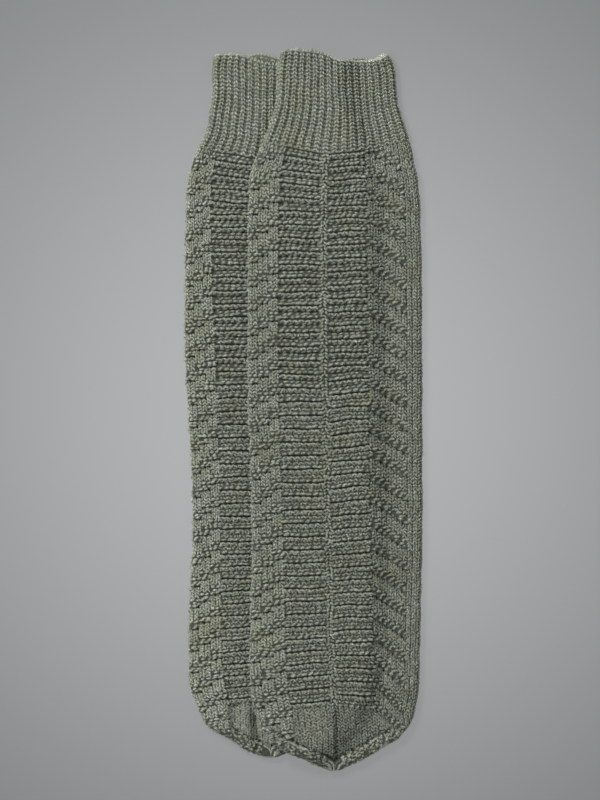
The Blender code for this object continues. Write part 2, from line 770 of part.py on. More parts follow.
    def build(self):
        """The sock as one object with its own wool material."""
        base_ring = self.build_leg()
        rim_ring = self.build_cuff(base_ring)
        self.build_pocket(rim_ring)
        bmesh.ops.recalc_face_normals(self.mesh, faces=self.mesh.faces)
        data = bpy.data.meshes.new(self.sock.name)
        self.mesh.to_mesh(data)
        self.mesh.free()
        data.shade_smooth()
        data.materials.append(wool_material(self.sock.name + "_wool"))
        piece = bpy.data.objects.new(self.sock.name, data)
        bpy.context.scene.collection.objects.link(piece)
        return piece


def wool_material(name):
    """Heather green wool."""
    material = bpy.data.materials.new(name)
    material.use_nodes = True
    shader = material.node_tree.nodes["Principled BSDF"]
    shader.inputs["Base Color"].default_value = WOOL_COLOUR
    shader.inputs["Roughness"].default_value = WOOL_ROUGHNESS
    shader.inputs["Metallic"].default_value = 0.0
    material.diffuse_color = WOOL_COLOUR
    return material


def main():
    """Clear the scene and build the lower sock, then the upper one over it."""
    for old in list(bpy.data.objects):
        bpy.data.objects.remove(old, do_unlink=True)
    SockMesh(LOWER, Surface()).build()
    SockMesh(UPPER, Drape(SockForm(LOWER))).build()


main()
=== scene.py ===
"""Looks of a pair of hand-knit wool socks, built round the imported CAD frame.

Each sock is drawn stitch by stitch on the form of its CAD solid: cuff, upper leg, lower leg and toe are
closed walls of cloth whose outer face carries every knit and purl stitch as raised yarn.
Loose fibres stand off the yarn as a light fuzz. The floor, lights and camera follow the photograph.
Tables and sizes are in millimetres, and the meshes are in metres.
"""

import logging
import math
from dataclasses import dataclass
from enum import Enum, IntEnum
from typing import ClassVar, NamedTuple, Optional, Sequence

import bpy
import numpy as np
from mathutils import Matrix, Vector


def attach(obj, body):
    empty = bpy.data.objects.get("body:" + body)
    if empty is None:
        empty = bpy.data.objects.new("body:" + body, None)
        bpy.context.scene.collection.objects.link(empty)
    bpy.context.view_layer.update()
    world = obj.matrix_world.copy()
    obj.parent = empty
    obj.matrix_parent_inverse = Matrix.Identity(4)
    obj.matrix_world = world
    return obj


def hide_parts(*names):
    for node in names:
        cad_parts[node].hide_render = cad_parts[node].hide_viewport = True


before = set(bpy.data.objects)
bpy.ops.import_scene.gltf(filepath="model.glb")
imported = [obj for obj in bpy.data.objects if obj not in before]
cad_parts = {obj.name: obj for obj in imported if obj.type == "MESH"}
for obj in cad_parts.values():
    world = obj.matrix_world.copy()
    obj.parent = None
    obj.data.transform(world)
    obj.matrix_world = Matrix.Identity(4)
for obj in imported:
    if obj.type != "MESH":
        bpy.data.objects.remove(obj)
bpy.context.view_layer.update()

LOG = logging.getLogger("wool_socks")
METRES = 0.001
FOLD_TOP = 90.0
TINY = 1e-9
Array = np.ndarray


class Section(NamedTuple):
    """Outline of a sock and the line of its ladder at one height."""

    y: float
    left: float
    right: float
    ladder: float


class Course(NamedTuple):
    """How far a course of stitches lies above its height at the ladder, at four places across."""

    ladder_y: float
    left_fold: float
    left_edge: float
    right_edge: float
    right_fold: float


class Rim(NamedTuple):
    """Height of the rim on the front and the back wall, at a share of the width."""

    across: float
    front: float
    back: float


class Crease(NamedTuple):
    """A soft trough (positive depth) or ridge (negative depth) pressed into the front."""

    x1: float
    y1: float
    x2: float
    y2: float
    width: float
    depth: float


class Spacing(NamedTuple):
    """Height at the ladder of the lower edge of a welt, counted down from the cuff."""

    welts: int
    ladder_y: float


class Level(NamedTuple):
    """Height of the cloth at a share of a repeat of the pattern."""

    share: float
    height: float


class Bump(NamedTuple):
    """A strand of yarn as it shows in a stitch: a rounded oval."""

    across: float
    down: float
    half_length: float
    half_width: float
    tilt: float
    lift: float


def rows_of(kind: type, *rows: tuple[float, ...]) -> tuple:
    """A table: rows of plain numbers under the named columns of one kind of row."""
    return tuple(kind(*row) for row in rows)


UPPER_SECTIONS = rows_of(
    Section,
    (228.9, -14.6, 52.2, 19.7), (220.4, -15.9, 56.9, 19.7), (197.5, -17.2, 59.1, 17.8),
    (187.9, -19.4, 61.7, 16.8), (168.9, -26.7, 67.4, 14.3), (156.1, -31.2, 70.0, 13.4),
    (146.6, -34.3, 72.2, 13.0), (114.8, -35.0, 74.0, 12.7), (57.6, -35.2, 74.7, 12.7),
    (6.7, -35.2, 74.8, 13.4), (-31.5, -33.7, 75.0, 14.0), (-82.4, -32.8, 75.0, 15.6),
    (-132.6, -33.7, 73.8, 16.5), (-158.7, -34.3, 73.5, 17.5), (-177.8, -33.5, 72.5, 18.4),
    (-193.0, -30.5, 70.0, 20.2), (-200.7, -27.3, 66.8, 21.0), (-208.6, -22.9, 60.4, 21.3),
    (-213.4, -18.4, 53.4, 21.3), (-216.6, -13.4, 47.7, 21.2), (-221.0, -1.9, 40.1, 21.0),
    (-224.8, 5.7, 32.4, 20.8), (-228.4, 13.4, 25.5, 20.4),
)
LOWER_SECTIONS = rows_of(
    Section,
    (226.7, -56.7, 15.3, -22.3), (219.1, -58.2, 17.2, -22.3), (197.5, -58.5, 17.8, -24.0),
    (187.9, -60.1, 19.1, -25.4), (176.5, -62.6, 22.9, -28.0), (164.4, -68.7, 26.7, -30.0),
    (154.2, -71.6, 29.3, -30.5), (144.1, -73.8, 31.8, -30.8), (123.7, -75.0, 34.0, -30.5),
    (70.3, -75.7, 34.7, -28.6), (16.9, -74.8, 35.0, -26.7), (-37.8, -71.2, 35.6, -25.4),
    (-82.4, -70.7, 35.6, -24.8), (-112.9, -72.2, 35.0, -24.4), (-151.1, -73.1, 33.7, -24.2),
    (-172.0, -73.1, 31.8, -22.9), (-188.6, -67.7, 26.1, -21.6), (-200.0, -62.3, 18.4, -21.2),
    (-208.9, -49.6, 7.0, -21.0), (-213.1, -42.6, 0.0, -21.0), (-216.6, -36.3, -6.4, -21.0),
    (-220.1, -27.5, -14.5, -21.0),
)
UPPER_COURSES = rows_of(
    Course,
    (162.5, 8.3, 5.1, 3.2, 10.2), (146.6, 5.7, 3.2, 1.3, 5.7), (127.5, 2.9, 1.6, 1.0, 2.9),
    (102.1, 1.0, 0.6, 0.6, 1.3), (51.2, 0.0, 0.0, 1.0, 1.3), (6.7, -0.3, 0.0, 2.2, 2.2),
    (-44.2, -1.3, -0.3, 2.5, 2.5), (-95.1, -1.9, -0.6, 2.2, 1.9), (-133.2, -2.9, -1.9, 1.3, 0.6),
    (-158.7, -3.8, -2.9, -0.3, -1.9), (-187.3, -4.5, -2.5, -2.5, -5.7),
    (-207.7, -5.7, -3.2, -2.5, -5.7), (-219.1, -3.2, -1.0, -1.0, -3.2), (-228.4, 0.0, 0.0, 0.0, 0.0),
)
LOWER_COURSES = rows_of(
    Course,
    (160.6, 7.5, 4.5, 3.2, 9.5), (144.1, 5.4, 3.0, 1.5, 5.7), (123.7, 2.5, 1.5, 1.0, 2.9),
    (95.7, 0.6, 0.4, 0.6, 1.3), (16.9, -1.0, -0.6, 1.5, 1.8), (-82.4, -1.6, -0.8, 2.0, 1.8),
    (-132.6, -3.4, -2.2, 1.0, 0.0), (-158.7, -4.5, -3.2, -0.6, -2.5), (-184.1, -5.0, -3.2, -2.5, -5.7),
    (-202.0, -5.7, -3.2, -2.5, -5.7), (-213.0, -3.2, -1.0, -1.0, -3.2), (-220.1, 0.0, 0.0, 0.0, 0.0),
)
UPPER_RIMS = rows_of(
    Rim,
    (0.0, 228.2, 228.2), (0.1, 228.7, 227.6), (0.38, 226.7, 223.6), (0.53, 222.3, 222.6),
    (0.73, 222.0, 224.4), (0.86, 222.9, 222.9), (1.0, 226.7, 226.7),
)
LOWER_RIMS = rows_of(
    Rim,
    (0.0, 226.4, 226.4), (0.1, 227.2, 226.0), (0.22, 226.1, 225.6), (0.31, 223.8, 226.3),
    (0.39, 221.9, 227.4), (0.47, 220.7, 226.4), (0.55, 220.3, 224.5), (0.8, 221.6, 222.9),
    (1.0, 224.2, 224.2),
)
UPPER_CREASES = rows_of(
    Crease,
    (-3.5, -193.0, -1.5, -212.0, 4.5, 1.1), (27.0, -196.0, 25.5, -213.0, 5.5, 1.0),
    (11.5, -192.0, 14.5, -214.0, 6.0, -0.9), (49.0, -170.1, 60.4, -183.5, 3.0, 1.2),
    (56.0, -167.0, 66.0, -180.0, 3.0, -0.7), (-8.9, -207.0, 18.0, -221.0, 2.4, 0.8),
    (46.0, -207.0, 29.0, -217.5, 2.4, 0.5), (20.0, -192.0, 20.3, -221.0, 1.1, 1.0),
    (46.2, -127.0, 66.0, -143.0, 2.6, -0.6), (46.0, -134.0, 63.0, -149.0, 2.4, 0.7),
)
LOWER_CREASES = rows_of(
    Crease,
    (-46.5, -176.0, -44.0, -198.0, 3.6, 1.7), (-37.5, -195.0, -36.5, -211.0, 3.0, -1.0),
    (-29.0, -198.0, -24.0, -213.0, 5.0, 1.2), (-55.0, -180.0, -52.0, -200.0, 4.0, -0.8),
    (-51.0, -178.0, -48.5, -204.0, 2.4, -0.8), (-36.0, -186.0, -33.5, -214.0, 2.4, -1.3),
    (-41.5, -188.0, -40.0, -206.0, 1.8, 0.6), (-30.5, -188.0, -28.0, -211.0, 2.2, 1.2),
)
UPPER_SPACING = rows_of(
    Spacing,
    (0, 162.5), (2, 146.5), (7, 105.6), (13, 54.3), (18, 10.5), (24, -40.7), (29, -83.3), (34, -123.6),
    (39, -162.6), (42, -187.3),
)
LOWER_SPACING = rows_of(
    Spacing,
    (0, 160.6), (2, 143.7), (7, 105.1), (11, 72.8), (14, 47.4), (18, 13.2), (23, -28.7), (27, -62.2),
    (32, -101.9), (37, -139.8), (42, -177.0), (43, -184.1),
)

# One welt from its upper furrow to the next: a dim row, a bump row, a furrow, a V row and a close one.
WELT_LEVELS = rows_of(
    Level,
    (0.0, -0.65), (0.06, -0.1), (0.15, 0.1), (0.25, 0.1), (0.35, 0.7), (0.5, 0.75), (0.59, -0.6),
    (0.68, 0.8), (0.8, 1.1), (0.92, 0.75), (1.0, -0.65),
)
# The same lower down the leg, where the first furrow has closed and the second is deeper.
LOW_WELT_LEVELS = rows_of(
    Level,
    (0.0, 0.25), (0.15, 0.35), (0.25, 0.35), (0.36, 0.8), (0.5, 0.85), (0.59, -0.95), (0.68, 0.6),
    (0.8, 0.95), (0.92, 0.75), (1.0, 0.25),
)
# One cell of the texture panels: knit rows that rise, then purl rows with a dark dash under them.
CELL_LEVELS = rows_of(
    Level,
    (0.0, -0.9), (0.05, -0.5), (0.12, 0.25), (0.5, 0.45), (0.6, 0.5), (0.66, 0.8), (0.72, 0.7),
    (0.765, 0.15), (0.82, 0.9), (0.9, 1.1), (0.96, 0.8), (1.0, -0.9),
)


class Stitch(Enum):
    """The strands of yarn that each kind of stitch shows, in stitches, rows, millimetres and degrees."""

    KNIT = (Bump(0.27, 0.5, 1.5, 0.62, -60.0, 1.0), Bump(0.73, 0.5, 1.5, 0.62, 60.0, 1.0))
    WELT_DIM = (Bump(1.0, 0.66, 1.5, 0.67, -15.0, 0.85),)
    WELT_FIRST = (Bump(0.5, 0.68, 1.7, 0.86, -17.0, 1.0),)
    WELT_SECOND = (Bump(0.27, 0.95, 1.35, 0.62, -46.0, 1.0), Bump(0.73, 0.95, 1.35, 0.62, 46.0, 1.0))
    WELT_THIRD = (Bump(1.0, 0.78, 1.5, 0.67, -17.0, 0.88),)
    WELT_FINE = (Bump(0.25, 0.6, 1.2, 0.5, -50.0, 0.92), Bump(0.75, 0.6, 1.2, 0.5, 50.0, 0.92))
    CELL_FIRST = (Bump(0.5, 0.6, 1.5, 0.85, -12.0, 1.0),)
    CELL_SECOND = (Bump(1.0, 0.7, 1.5, 0.82, -20.0, 0.95),)
    CELL_THIRD = (Bump(0.5, 0.5, 1.55, 0.84, -16.0, 1.0),)
    TOE_BAND = (Bump(0.5, 0.5, 1.15, 0.8, 30.0, 1.0),)
    TOE_BAND_TURNED = (Bump(1.0, 0.5, 1.15, 0.8, -30.0, 1.0),)
    LADDER_LEFT = (Bump(0.45, 0.5, 1.45, 0.74, -40.0, 1.0),)
    LADDER_RIGHT = (Bump(0.55, 0.5, 1.45, 0.74, 40.0, 1.0),)
    RIB_KNIT = (Bump(0.26, 0.5, 1.55, 0.62, -52.0, 1.0), Bump(0.74, 0.5, 1.55, 0.62, 52.0, 1.0))
    RIB_PURL = (Bump(0.5, 0.5, 0.6, 0.7, 0.0, 0.6),)


class Draw(IntEnum):
    """What each random draw adds to its sock's seed."""

    LEG = 0
    CUFF = 1
    TOE_BAND = 2
    CAST_ON = 7
    NAP = 31
    WAVES_ACROSS = 101
    WAVES_ALONG = 102
    WAVES_UP = 103


WELT_STITCHES = (Stitch.WELT_DIM, Stitch.WELT_FIRST, Stitch.WELT_SECOND, Stitch.WELT_THIRD)
LOW_WELT_STITCHES = (Stitch.WELT_FINE, Stitch.WELT_FIRST, Stitch.WELT_SECOND, Stitch.WELT_FINE)
CELL_STITCHES = (Stitch.KNIT,) * 4 + (Stitch.CELL_FIRST, Stitch.CELL_SECOND, Stitch.CELL_THIRD)


@dataclass(frozen=True)
class Cloth:
    """Sizes of the tube's wall, which are those of the CAD solids."""

    wall: float = 2.5
    pocket_gap: float = 0.6
    narrowest_top: float = 0.16
    mouth_reach: float = 16.0
    mouth_corner: float = 8.0
    tip_reach: float = 9.0
    tip_flattening: float = 1.6
    tip_bulge: float = 1.4
    rim_bulge: float = 1.1
    ride_height: float = 7.2
    ramp_start: float = 3.5
    ramp: float = 17.0
    middle_x: float = -0.69
    middle_y: float = 0.15

    @property
    def radius(self) -> float:
        """Radius of the rounding at a fold."""
        return self.wall + self.pocket_gap / 2


@dataclass(frozen=True)
class Gauge:
    """The knitting's stitches and rows and where its panels lie.

    Edges, tops and blends across are in stitches from the ladder's middle, those down in rows from the
    cuff's base, turns in degrees round a fold, and widths in millimetres.
    """

    stitch_width: float = 3.43
    cuff_rows: int = 25
    toe_rows: int = 20
    toe_cell_rows: int = 9
    first_stitch: float = -15.0
    stitches: int = 34
    left_top: float = -12.9
    right_top: float = 16.9
    ladder_half: float = 1.0
    ladder_width: float = 4.4
    ladder_blend: tuple[float, float] = (0.5, 1.8)
    panel_blend: float = 0.1
    row_blend: float = 0.5
    toe_blend: tuple[float, float] = (-3.0, 2.0)
    first_row: float = 0.6
    rim_fade: float = 0.3
    rib_fade: float = 0.8
    top_fade: tuple[float, float] = (-0.3, 0.5)
    welt_edge: float = 8.0
    band_edge: float = 15.0
    left_welt_width: float = 29.3
    right_welt_width: float = 28.0
    band_inset: float = 9.2
    leg_width: float = 110.0
    narrow_share: float = 0.12
    rows_per_welt: int = 4
    right_welt_shift: int = 2
    low_welts: tuple[float, float] = (56.0, 84.0)
    slanting_rows: tuple[float, float] = (14.0, 34.0)
    left_cell_row: int = 2
    right_cell_row: int = 1
    fold_turn: float = -56.0
    fold_full: float = -12.0
    back_turn: float = -73.0
    ribs: int = 19
    rib_knit_share: float = 0.78
    rib_width: float = 4.5
    narrow_cuff_y: float = 197.5
    columns_per_stitch: int = 6
    rings_per_row: int = 5
    back_columns_per_rib: int = 8
    mouth_rows: int = 6


@dataclass(frozen=True)
class Relief:
    """Heights, tones and unevenness of the yarn and of the pattern over the plain skin.

    Heights, wobbles and creases are in millimetres. A gap's shade is a share of the full painted shade that
    darkens the gaps between strands, the furrows and the creases, and a tone is added to the 0 to 1 of a
    strand; the cuff's tone is painted light and the toe's is painted shade. A jitter is the spread of a
    random draw: in stitches and rows for the place, in degrees for the tilt, and as a share for the size and
    the lift.
    """

    yarn: float = 0.95
    floor: float = 0.7
    rib_ridge: float = 0.6
    rib_valley: float = -0.3
    rib_flank: float = 0.16
    mouth: float = 0.3
    ladder: float = 0.3
    band: float = 0.45
    band_groove: float = -0.5
    groove_stitches: float = 0.16
    cell_slant: float = 0.3
    cell_stair: float = 0.94
    toe_cells: float = 0.5
    # Painted shade on the cuff, lighter than on the leg, and painted light: how much lighter the cuff's
    # strands are drawn.
    cuff_gap: float = 0.8
    cuff_tone: float = 0.42
    band_tone: float = -0.25
    # Painted shade: how much darker the toe's right half is drawn, as it lies away from the light.
    toe_tone: float = -0.35
    # Painted shade along the ladder, a little deeper than elsewhere.
    ladder_gap: float = 1.1
    plain_tone: float = 0.6
    # Painted shade between the strands, in the pattern's furrows and between the stitches inside the mouth,
    # with the heights over which each darkens.
    strand_gap: float = 0.85
    strand_edge: tuple[float, float] = (0.1, 0.75)
    furrow_gap: float = 0.4
    furrow_edge: tuple[float, float] = (-0.5, 0.2)
    mouth_gap: float = 0.6
    mouth_edge: tuple[float, float] = (0.15, 0.8)
    right_cells: float = 0.6
    rim_rings: int = 8
    # Painted shade in the narrow creases: the widest crease that counts, and how dark per millimetre of
    # depth.
    narrow_crease: float = 1.5
    crease_gap: float = 0.6
    toe_yarn: float = 0.65
    row_slide: float = 0.22
    jitter_place: float = 0.08
    jitter_size: float = 0.13
    jitter_tilt: float = 12.0
    jitter_lift: float = 0.16
    knit_jitter: float = 0.55
    wobble_side: float = 0.22
    wobble_up: float = 0.3
    wobble_high: float = 0.28
    wobble_length: float = 19.0


@dataclass(frozen=True)
class ToeBand:
    """The band of turned stitches along the toe's slanting edges, in millimetres and stitches."""

    rows: int = 40
    stitches: int = 10
    row: float = 1.9
    stitch: float = 2.6
    middle: float = 4.0
    spare: float = 6.0
    width: float = 8.5
    top: float = -200.0
    fade: float = 5.0
    rise: float = 0.5
    groove: float = -0.7
    groove_width: float = 0.9
    base: float = 0.1
    swell: float = 1.1
    jitter: float = 2.3


@dataclass(frozen=True)
class CastOn:
    """The bead of loops along the cuff's rounded edge, in millimetres, and its rings' turns in degrees. Its
    loops carry a painted highlight, with painted shade between them.
    """

    turns: tuple[float, ...] = (25.0, 55.0, 90.0, 125.0, 155.0)
    pitch: float = 2.3
    rise: float = 1.9
    jitter: float = 0.45
    swell: float = 0.4
    twist: float = 30.0
    # Painted highlight: how light the rim's loops are drawn.
    tone: float = 1.9
    # Painted shade between the loops: how dark, how it swings with the beads, and the darkest it gets.
    gap: float = 0.35
    gap_swing: float = 1.2
    deepest: float = 0.9


@dataclass(frozen=True)
class Cut:
    """Flat sizes of the tube's pieces in metres, and how much of its rectangle the pointed toe takes."""

    cuff_round: float = 0.165
    cuff_length: float = 0.064
    leg_round: float = 0.224
    toe_round: float = 0.21
    toe_share: float = 0.72


CLOTH = Cloth()
GAUGE = Gauge()
RELIEF = Relief()
TOE_BAND = ToeBand()
CAST_ON = CastOn()
# How far across the columns of a plain back stand: closer together where it is draped over the other sock.
FLAT_BACK = (1.0, 0.65, 0.3, 0.0)
DRAPED_BACK = (1.0, 0.92, 0.86, 0.81, 0.76, 0.71, 0.66, 0.6, 0.45, 0.25, 0.0)
STITCH_MARKS = (
    GAUGE.left_top, -GAUGE.welt_edge, -GAUGE.ladder_half, GAUGE.ladder_half, GAUGE.welt_edge,
    GAUGE.band_edge, GAUGE.right_top,
)


@dataclass(frozen=True)
class SockTable:
    """Everything that tells one sock from the other.

    Attributes:
        name: which sock it is.
        sections, courses, rims, creases, spacing: its measured tables.
        cuff_base, toe_start, tip: heights where the cuff, the toe and the sock end.
        mouth_lift: how far the front stands open at the mouth.
        rides: whether it lies on the other sock.
        hidden_from: the stitch from which the other sock hides it, or None.
        seed: start of its random draws.
        left_tone: how much lighter its left panel is painted, as painted light on the side that faces the
            lamps.
    """

    name: str
    sections: Sequence[Section]
    courses: Sequence[Course]
    rims: Sequence[Rim]
    creases: Sequence[Crease]
    spacing: Sequence[Spacing]
    cuff_base: float
    toe_start: float
    tip: float
    mouth_lift: float
    rides: bool
    hidden_from: Optional[float]
    seed: int
    # Painted light: the left panel is drawn lighter, as the side that faces the lamps.
    left_tone: float

    @property
    def leg_rows(self) -> int:
        """Knitted rows between the cuff and the toe."""
        return self.spacing[-1].welts * GAUGE.rows_per_welt


UPPER = SockTable(
    "upper", UPPER_SECTIONS, UPPER_COURSES, UPPER_RIMS, UPPER_CREASES, UPPER_SPACING,
    cuff_base=162.5, toe_start=-187.3, tip=-228.4, mouth_lift=1.0, rides=True, hidden_from=None, seed=11,
    left_tone=0.3,
)
LOWER = SockTable(
    "lower", LOWER_SECTIONS, LOWER_COURSES, LOWER_RIMS, LOWER_CREASES, LOWER_SPACING,
    cuff_base=160.6, toe_start=-184.1, tip=-220.1, mouth_lift=0.2, rides=False, hidden_from=1.0, seed=23,
    left_tone=0.7,
)


def smooth(value: Array, low: float, high: float) -> Array:
    """Smooth step from 0 at low to 1 at high."""
    share = np.clip((value - low) / (high - low), 0.0, 1.0)
    return share * share * (3 - 2 * share)


def between(x: Array, marks: Sequence[Array], values: Sequence[Array]) -> Array:
    """Straight-line interpolation where each point has marks and values of its own.

    Args:
        x: places to look up.
        marks: rising places, each one number or one per point.
        values: the value at each mark.

    Returns:
        The value at each place, held beyond the first and last mark.
    """
    total = values[0] + 0.0 * x
    for low, high, before, after in zip(marks, marks[1:], values, values[1:]):
        total = total + (after - before) * np.clip((x - low) / (high - low), 0.0, 1.0)
    return total


def unit(ways: Array) -> Array:
    """Directions made one long."""
    return ways / np.linalg.norm(ways, axis=-1, keepdims=True)


class Curve:
    """Smooth curve through the rows of a table that never overshoots them."""

    def __init__(self, rows: Sequence[NamedTuple], key: str, name: str) -> None:
        """Work out the slope at each row.

        Args:
            rows: the table.
            key: the column that holds the places.
            name: the column that holds the values.
        """
        order = sorted(rows, key=lambda row: getattr(row, key))
        self.knots = np.array([getattr(row, key) for row in order])
        self.values = np.array([getattr(row, name) for row in order])
        steps = np.diff(self.values) / np.diff(self.knots)
        before, after = steps[:-1], steps[1:]
        same_way = before * after > 0
        total = np.where(same_way, before + after, 1.0)
        middle = np.where(same_way, 2 * before * after / total, 0.0)
        self.slopes = np.concatenate([steps[:1], middle, steps[-1:]])

    def at(self, place: Array) -> Array:
        """Look up the curve.

        Args:
            place: where to look it up.

        Returns:
            The value at each place, held at the first and last row beyond them.
        """
        place = np.clip(place, self.knots[0], self.knots[-1])
        i = np.clip(np.searchsorted(self.knots, place) - 1, 0, len(self.knots) - 2)
        gap = self.knots[i + 1] - self.knots[i]
        t = (place - self.knots[i]) / gap
        value = self.values[i] + (self.values[i + 1] - self.values[i]) * t * t * (3 - 2 * t)
        value += gap * self.slopes[i] * t * (1 - t) ** 2
        return value - gap * self.slopes[i + 1] * t * t * (1 - t)


class Waves:
    """Soft unevenness over the cloth: the sum of a few long waves in random directions."""

    COUNT = 9
    LENGTHS = (0.6, 2.2)

    def __init__(self, seed: int, length: float) -> None:
        """Draw the waves.

        Args:
            seed: seed of the random draw.
            length: typical wavelength in millimetres.
        """
        draw = np.random.default_rng(seed)
        turn = draw.uniform(0, 2 * math.pi, self.COUNT)
        size = 2 * math.pi / (length * draw.uniform(*self.LENGTHS, self.COUNT))
        self.across = size * np.cos(turn)
        self.along = size * np.sin(turn)
        self.phase = draw.uniform(0, 2 * math.pi, self.COUNT)

    def at(self, x: Array, y: Array) -> Array:
        """Add up the waves.

        Args:
            x: X of each point.
            y: Y of each point.

        Returns:
            Their height at each point, about -1 to 1.
        """
        total = np.zeros(np.broadcast(x, y).shape)
        for across, along, phase in zip(self.across, self.along, self.phase):
            total += np.sin(across * x + along * y + phase)
        return total / math.sqrt(self.COUNT)


class Place(Enum):
    """How a column of points finds its way across a sock."""

    LEFT_FOLD = "turn of the left fold"
    STITCH = "stitch of the front"
    RIGHT_FOLD = "turn of the right fold"
    SHARE_TOP = "share of the front"
    SHARE_UNDER = "share of the back"


@dataclass(frozen=True)
class Column:
    """A column of points that runs down a sock.

    Attributes:
        place: how it finds its way across.
        at: its turn in degrees, its stitch or its share.
        stitch: where it stands among the fine stitches, or None on the plain back.
    """

    place: Place
    at: float
    stitch: Optional[float] = None

    @property
    def turned(self) -> bool:
        """Whether it lies on one of the folds."""
        return self.place in (Place.LEFT_FOLD, Place.RIGHT_FOLD)


class SockForm:
    """The smooth form of one sock, worked out from its tables as in the CAD."""

    STEP = 0.25
    SPARE = 4.0
    SETTLING = 4

    def __init__(self, table: SockTable) -> None:
        """Tabulate the outline and the folds.

        Args:
            table: the sock's tables.
        """
        self.table = table
        left, right, ladder = (Curve(table.sections, "y", name) for name in ("left", "right", "ladder"))
        self.rim_top = max(row.front for row in table.rims)
        self.y = np.arange(table.tip - self.SPARE, self.rim_top + self.SPARE, self.STEP)
        self.left = left.at(self.y)
        self.right = right.at(self.y)
        self.ladder = ladder.at(self.y)
        widest = (1 - CLOTH.narrowest_top) / 2 * (self.right - self.left)
        self.left_fold = np.minimum(CLOTH.radius * np.hypot(1, self.slant(left)), widest)
        self.right_fold = np.minimum(CLOTH.radius * np.hypot(1, self.slant(right)), widest)
        self.rims = {name: Curve(table.rims, "across", name) for name in ("front", "back")}
        names = ("left_fold", "left_edge", "right_edge", "right_fold")
        self.rises = [Curve(table.courses, "ladder_y", name) for name in names]

    def slant(self, edge: Curve) -> Array:
        """How much an edge slants at each tabulated height."""
        return (edge.at(self.y + 1) - edge.at(self.y - 1)) / 2

    def look_up(self, y: "Array | float", *names: str) -> list[Array]:
        """Tabulated values at each height, one array for each name."""
        return [np.interp(y, self.y, getattr(self, name)) for name in names]

    def edges(self, y: "Array | float") -> list[Array]:
        """X of the outline's left and right side and the width of each fold, at each height."""
        return self.look_up(y, "left", "right", "left_fold", "right_fold")

    def panel_marks(self, y: Array) -> list[Array]:
        """Find the edges of the panels.

        Args:
            y: heights.

        Returns:
            X of each edge at each height, from the left fold's top to the right fold's top.
        """
        left, right, left_fold, right_fold = self.edges(y)
        ladder = self.look_up(y, "ladder")[0]
        scale = (right - left) / GAUGE.leg_width
        left_top = left + left_fold
        right_top = right - right_fold
        left_welt = ladder - GAUGE.left_welt_width * scale
        left_welt = np.maximum(left_welt, left_top + GAUGE.narrow_share * (ladder - left_top))
        right_welt = ladder + GAUGE.right_welt_width * scale
        band = right - GAUGE.band_inset * scale
        band = np.minimum(band, right_top - GAUGE.narrow_share * (right_top - right_welt))
        half = GAUGE.ladder_width / 2 * scale
        return [left_top, left_welt, ladder - half, ladder + half, right_welt, band, right_top]

    def across(self, column: Column, y: Array) -> Array:
        """Follow a column across the sock.

        Args:
            column: the column of points.
            y: heights.

        Returns:
            Its X at each height.
        """
        left, right, left_fold, right_fold = self.edges(y)
        if column.turned:
            share = 1 - math.cos(math.radians(column.at))
            return left + left_fold * share if column.place is Place.LEFT_FOLD else right - right_fold * share
        if column.place is Place.STITCH:
            return between(np.full(len(y), column.at), STITCH_MARKS, self.panel_marks(y))
        left_top = left + left_fold
        return left_top + column.at * (right - right_fold - left_top)

    def course_rise(self, x: Array, ladder_y: Array) -> Array:
        """Follow a course of stitches up or down across the sock.

        Args:
            x: X of each point.
            ladder_y: height at which its course crosses the ladder.

        Returns:
            How far it lies above that height.
        """
        left, right, ladder = self.look_up(ladder_y, "left", "right", "ladder")
        scale = (right - left) / GAUGE.leg_width
        left_edge = ladder - GAUGE.left_welt_width * scale
        right_edge = ladder + GAUGE.right_welt_width * scale
        at_left, at_left_edge, at_right_edge, at_right = [rise.at(ladder_y) for rise in self.rises]
        marks = (left, left_edge, ladder, right_edge, right)
        return between(x, marks, (at_left, at_left_edge, 0.0 * ladder, at_right_edge, at_right))

    def row_place(self, column: Column, ladder_y: Array, climb: Array) -> tuple[Array, Array]:
        """X and Y of a column on each course, or part of the way from the cuff's base to its rim.

        Args:
            column: the column of points.
            ladder_y: height of each course at the ladder.
            climb: share of the way up the cuff, or 0 below it.

        Returns:
            X and Y of each point.
        """
        rim = self.rims["back" if column.place is Place.SHARE_UNDER else "front"]
        y = ladder_y + 0.0
        for _ in range(self.SETTLING):
            x = self.across(column, y)
            base = ladder_y + self.course_rise(x, ladder_y)
            left, right = self.look_up(y, "left", "right")
            share = np.clip((x - left) / (right - left), 0.0, 1.0)
            y = base + climb * (rim.at(share) - base)
        return self.across(column, y), y

    def crease_depth(self, x: Array, y: Array, widest: float = math.inf) -> Array:
        """Add up the creases.

        Args:
            x: X of each point.
            y: Y of each point.
            widest: width above which a crease isn't counted.

        Returns:
            How deep they press the front in at each point.
        """
        total = np.zeros(x.shape)
        for crease in (crease for crease in self.table.creases if crease.width <= widest):
            run_x = crease.x2 - crease.x1
            run_y = crease.y2 - crease.y1
            along = (x - crease.x1) * run_x + (y - crease.y1) * run_y
            share = np.clip(along / (run_x**2 + run_y**2), 0.0, 1.0)
            distance = np.hypot(x - crease.x1 - share * run_x, y - crease.y1 - share * run_y)
            total += crease.depth * np.exp(-((distance / crease.width) ** 2))
        return total

    def top_change(self, x: Array, y: Array) -> Array:
        """Lift the front at the mouth, crease it, and thin it at the tip.

        Args:
            x: X of each point.
            y: Y of each point.

        Returns:
            How much higher than a plain front it lies.
        """
        mouth = np.clip((y - self.rim_top + CLOTH.mouth_reach) / CLOTH.mouth_reach, 0.0, 1.0)
        tip = np.clip(1 - (y - self.table.tip) / CLOTH.tip_reach, 0.0, 1.0)
        lift = self.table.mouth_lift * mouth * mouth
        return lift - self.crease_depth(x, y) - CLOTH.tip_flattening * tip * tip

